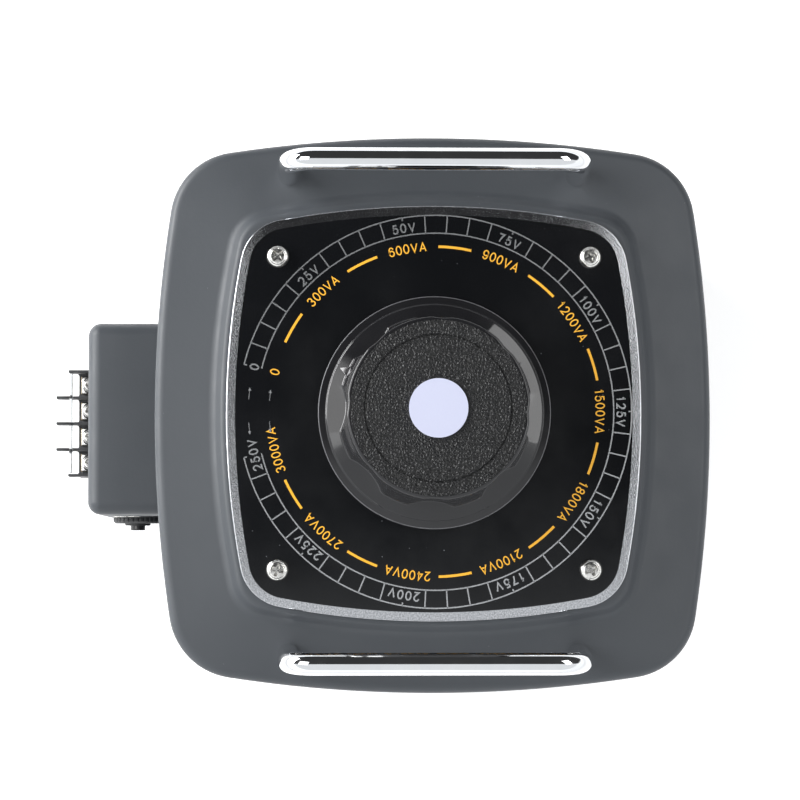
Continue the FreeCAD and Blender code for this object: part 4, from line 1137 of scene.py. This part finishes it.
def rib_outline():
    """The shelf's upper edge seen from above, the walls running out of it with a small round at each root."""
    root = 1.0 * MM
    half = WALL / 2
    points = []
    for i, x in enumerate(WALLS):
        tip = [(x - half, wall_front(i)), (x + half, wall_front(i))]
        turns = [radians(90 - 22.5 * step) for step in range(5)]
        curve = [(half + root - root * sin(t), SHELF_FRONT - root + root * cos(t)) for t in turns]
        left = [(x - reach, y) for reach, y in reversed(curve)] if i else []
        right = [(x + reach, y) for reach, y in curve] if i < 4 else []
        points += left + tip + right
    return points + [(points[-1][0], BOX_FRONT), (points[0][0], BOX_FRONT)]


def fin(x):
    """A wall between two terminals, notched from above for the guard strip."""
    low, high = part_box("terminal_cover")
    play = 0.12 * MM
    notch = (low.y - play, high.y + play)
    crest = top("terminal_block") - 1.2 * MM
    outline = [
        (BLOCK_FRONT, FIN_LOW), (BLOCK_FRONT, crest), (notch[0], crest), (notch[0], low.z),
        (notch[1], low.z), (notch[1], crest), (BOX_FRONT, crest), (BOX_FRONT, FIN_LOW),
    ]
    wall = skin([[(side, y, z) for y, z in outline] for side in (x - WALL / 2, x + WALL / 2)], ends=True)
    return softened(to_bmesh(wall.points, wall.faces), 0.2 * MM)


def terminal_block():
    """Moulded shelf with five walls between the terminals, and the plug that fills the box's window."""
    low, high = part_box("terminal_block")
    cut = 0.22 * MM
    form = slab((low.x, high.x), (SHELF_FRONT, BOX_FRONT), (low.z, FIN_LOW + 0.4 * MM), cut)
    rib = skin([[(x, y, z) for x, y in rib_outline()] for z in (FIN_LOW, SHELF_Z)], ends=True)
    form.merge(softened(to_bmesh(rib.points, rib.faces), cut, 50))
    for i, x in enumerate(WALLS):
        end_wall = slab((x - WALL / 2, x + WALL / 2), (END_FRONT, BOX_FRONT), (FIN_LOW, high.z), cut)
        form.merge(end_wall if i in (0, 4) else fin(x))
    for x in CELLS:
        for inner, outer in ((-PITCH / 2, -3.5 * MM), (3.5 * MM, PITCH / 2)):
            kerb = ((x + inner, x + outer), (TERMINAL_Y - 3.2 * MM, BOX_FRONT), (FIN_LOW, SHELF_Z + 0.9 * MM))
            form.merge(slab(*kerb, cut))
    half = 1.5 * PITCH + 4 * MM
    plug = ((BLOCK_X - half, BLOCK_X + half), (BOX_FRONT, high.y), (SHELF_Z - 9 * MM, SHELF_Z + 6 * MM))
    form.merge(slab(*plug))
    make_piece("terminal_block_moulding", form, "black_moulding", ["terminal_block"], 35)


def terminal_screws():
    seats = [Vector((x, TERMINAL_Y, top("terminal_washers"))) for x in CELLS]
    screw_set("terminal_screws", "terminal_screw_set", 3.3 * MM, seats, 11)


def terminal_washers():
    """Square clamps under the terminal screws."""
    low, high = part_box("terminal_washers")
    form = Form()
    for x in CELLS:
        form.merge(slab((x - CLAMP_HALF, x + CLAMP_HALF), (low.y, high.y), (low.z, high.z), 0.3 * MM))
    make_piece("terminal_clamps", form, "zinc_steel", ["terminal_washers"], 35)


# ---- brush spring

def brush_spring():
    """A copy of the CAD spring over the brush, riding on the rotor with a mesh of its own. The real spring
    shortens by as much as the brush rises.
    """
    coil = from_bmesh(editable(frame["nodes"]["brush_spring"].data))
    piece = make_piece("brush_spring_coil", coil, "bare_steel", ["brush_spring"], 40, "rotor")
    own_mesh(piece)


# ---- winding

TURNS = 244
GAP_START = FRONT + GAP_HALF
WIRE_R = 0.88 * MM


def winding():
    """Every turn of the wire round the core: side by side outside, in two layers inside."""
    low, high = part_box("winding")
    outer = (high.x - low.x) / 2 - WIRE_R
    inner = 41.4 * MM + WIRE_R
    below = low.z + WIRE_R
    above = high.z - WIRE_R
    wires = Form()
    for i in range(TURNS):
        angle = GAP_START + 1.2 + (360 - 2 * GAP_HALF - 2.4) * i / (TURNS - 1)
        inside = inner + (0.95 * MM if i % 2 else 0)
        corners = ((outer, below), (outer, above), (inside, above), (inside, below))
        path = eased([[Vector((r, 0, z))] for r, z in corners], [3 * MM] * 4, 4)
        wires.merge(swept([point for (point,) in path], WIRE_R, 8, looped=True), about_z(angle))
    make_piece("winding_turns", wires.placed(TO_AXIS), "enamelled_copper", ["winding"], 60)


# ---- studio

# Brightness of the room's walls and ceiling, and the level direction in which the walls grow dimmer
BRIGHT_WALL = 2.0
DIM_WALL = 1.2
SIDE_WALL = 0.92
CEILING = 0.045
DIM_SIDE = (0.6, 0.8, 0)
LAMPS_AIM = Vector((0, 0, 0.19))


def floor():
    """Pale studio table."""
    mesh = bpy.data.meshes.new("studio_floor")
    half = 6.0
    corners = [(-half, -half, 0), (half, -half, 0), (half, half, 0), (-half, half, 0)]
    mesh.from_pydata(corners, [], [(0, 1, 2, 3)])
    f = Finish("studio_floor", Roughness=0.9, Emission_Color=(1, 1, 1, 1), Emission_Strength=0.45)
    f.colour(f.noise(3, 2), (0.95, 0.95, 0.95), (0.97, 0.97, 0.97))
    mesh.materials.append(f.material)
    placed_object("studio_floor", mesh)


def aimed(location, target, up):
    """Rotation that looks from a place to a target with a given direction upwards in the picture."""
    back = (location - target).normalized()
    right = up.cross(back).normalized()
    return Matrix((right, back.cross(right), back)).transposed().to_euler()


def lamp(name, location, size, glow):
    """A softbox whose face has the given brightness."""
    light = bpy.data.lights.new(name, "AREA")
    light.shape = "RECTANGLE"
    light.size, light.size_y = size
    light.energy = glow * pi * size[0] * size[1]
    made = placed_object(name, light)
    made.location = location
    made.rotation_euler = aimed(location, LAMPS_AIM, Vector((0, 0, 1)))
    made.visible_camera = False


def studio():
    """A room with bright walls, dimmer to the back right, and a ceiling that is black over the object.

    The ceiling is pale again from a little to the right of the lens. The walls end lower on the left."""
    world = bpy.data.worlds.new("studio")
    world.use_nodes = True
    room = Nodes(world.node_tree, "Generated")
    apart = room.add("SeparateXYZ", {"Vector": room.place}).outputs
    across = room.add("VectorMath", {0: room.place, 1: DIM_SIDE}, operation="DOT_PRODUCT")
    walls = room.ramp(across.outputs["Value"], -1.0, 1.0, BRIGHT_WALL, DIM_WALL)
    overhead = room.ramp(apart["X"], 0.0, 0.035, CEILING, SIDE_WALL)
    wall_top = room.ramp(apart["X"], -0.5, 0.1, 0.06, 0.40)
    ceiling_from = room.ramp(apart["X"], -0.5, 0.1, 0.12, 0.52)
    background = world.node_tree.nodes["Background"]
    background.inputs["Color"].default_value = (0.96, 0.98, 1.0, 1)
    room.feed(background.inputs["Strength"], room.ramp(apart["Z"], wall_top, ceiling_from, walls, overhead))
    scene.world = world
    scene.view_settings.view_transform = "Standard"
    lamp("right_softbox", polar(0.78, 110, 1.39), (0.95, 0.5), 3.8)
    lamp("left_softbox", polar(0.78, 260, 1.39), (0.75, 0.75), 2.8)
    lamp("left_low_softbox", polar(0.7, 248, 0.4), (0.6, 0.25), 16)


def camera():
    """Almost straight above the knob, with +Y to the right of the picture."""
    data = bpy.data.cameras.new("camera")
    data.lens = 146
    data.sensor_width = 36
    scene.camera = placed_object("camera", data)
    scene.camera.location = AXIS + Vector((54.2, -47.4, 1360.2)) * MM
    target = AXIS + Vector((-4.7, -12.35, 190)) * MM
    scene.camera.rotation_euler = aimed(scene.camera.location, target, Vector((-1, 0, 0)))


finish_cad_nodes()
top_cover()
dial_edge()
dial_panel()
volt_scale()
power_scale()
knob_moulding()
handle("handle_right", 0)
handle("handle_left", 180)
dial_screws()
terminal_block()
terminal_screws()
terminal_washers()
brush_spring()
winding()
eased_nodes = {node: ease_edges(node, cut * MM) for node, cut in EDGE_CUTS.items()}
even_shading(eased_nodes["terminal_box"])
even_shading(eased_nodes["base_tray"])
true_walls(eased_nodes["side_shell"], CASE)
floor()
studio()
camera()
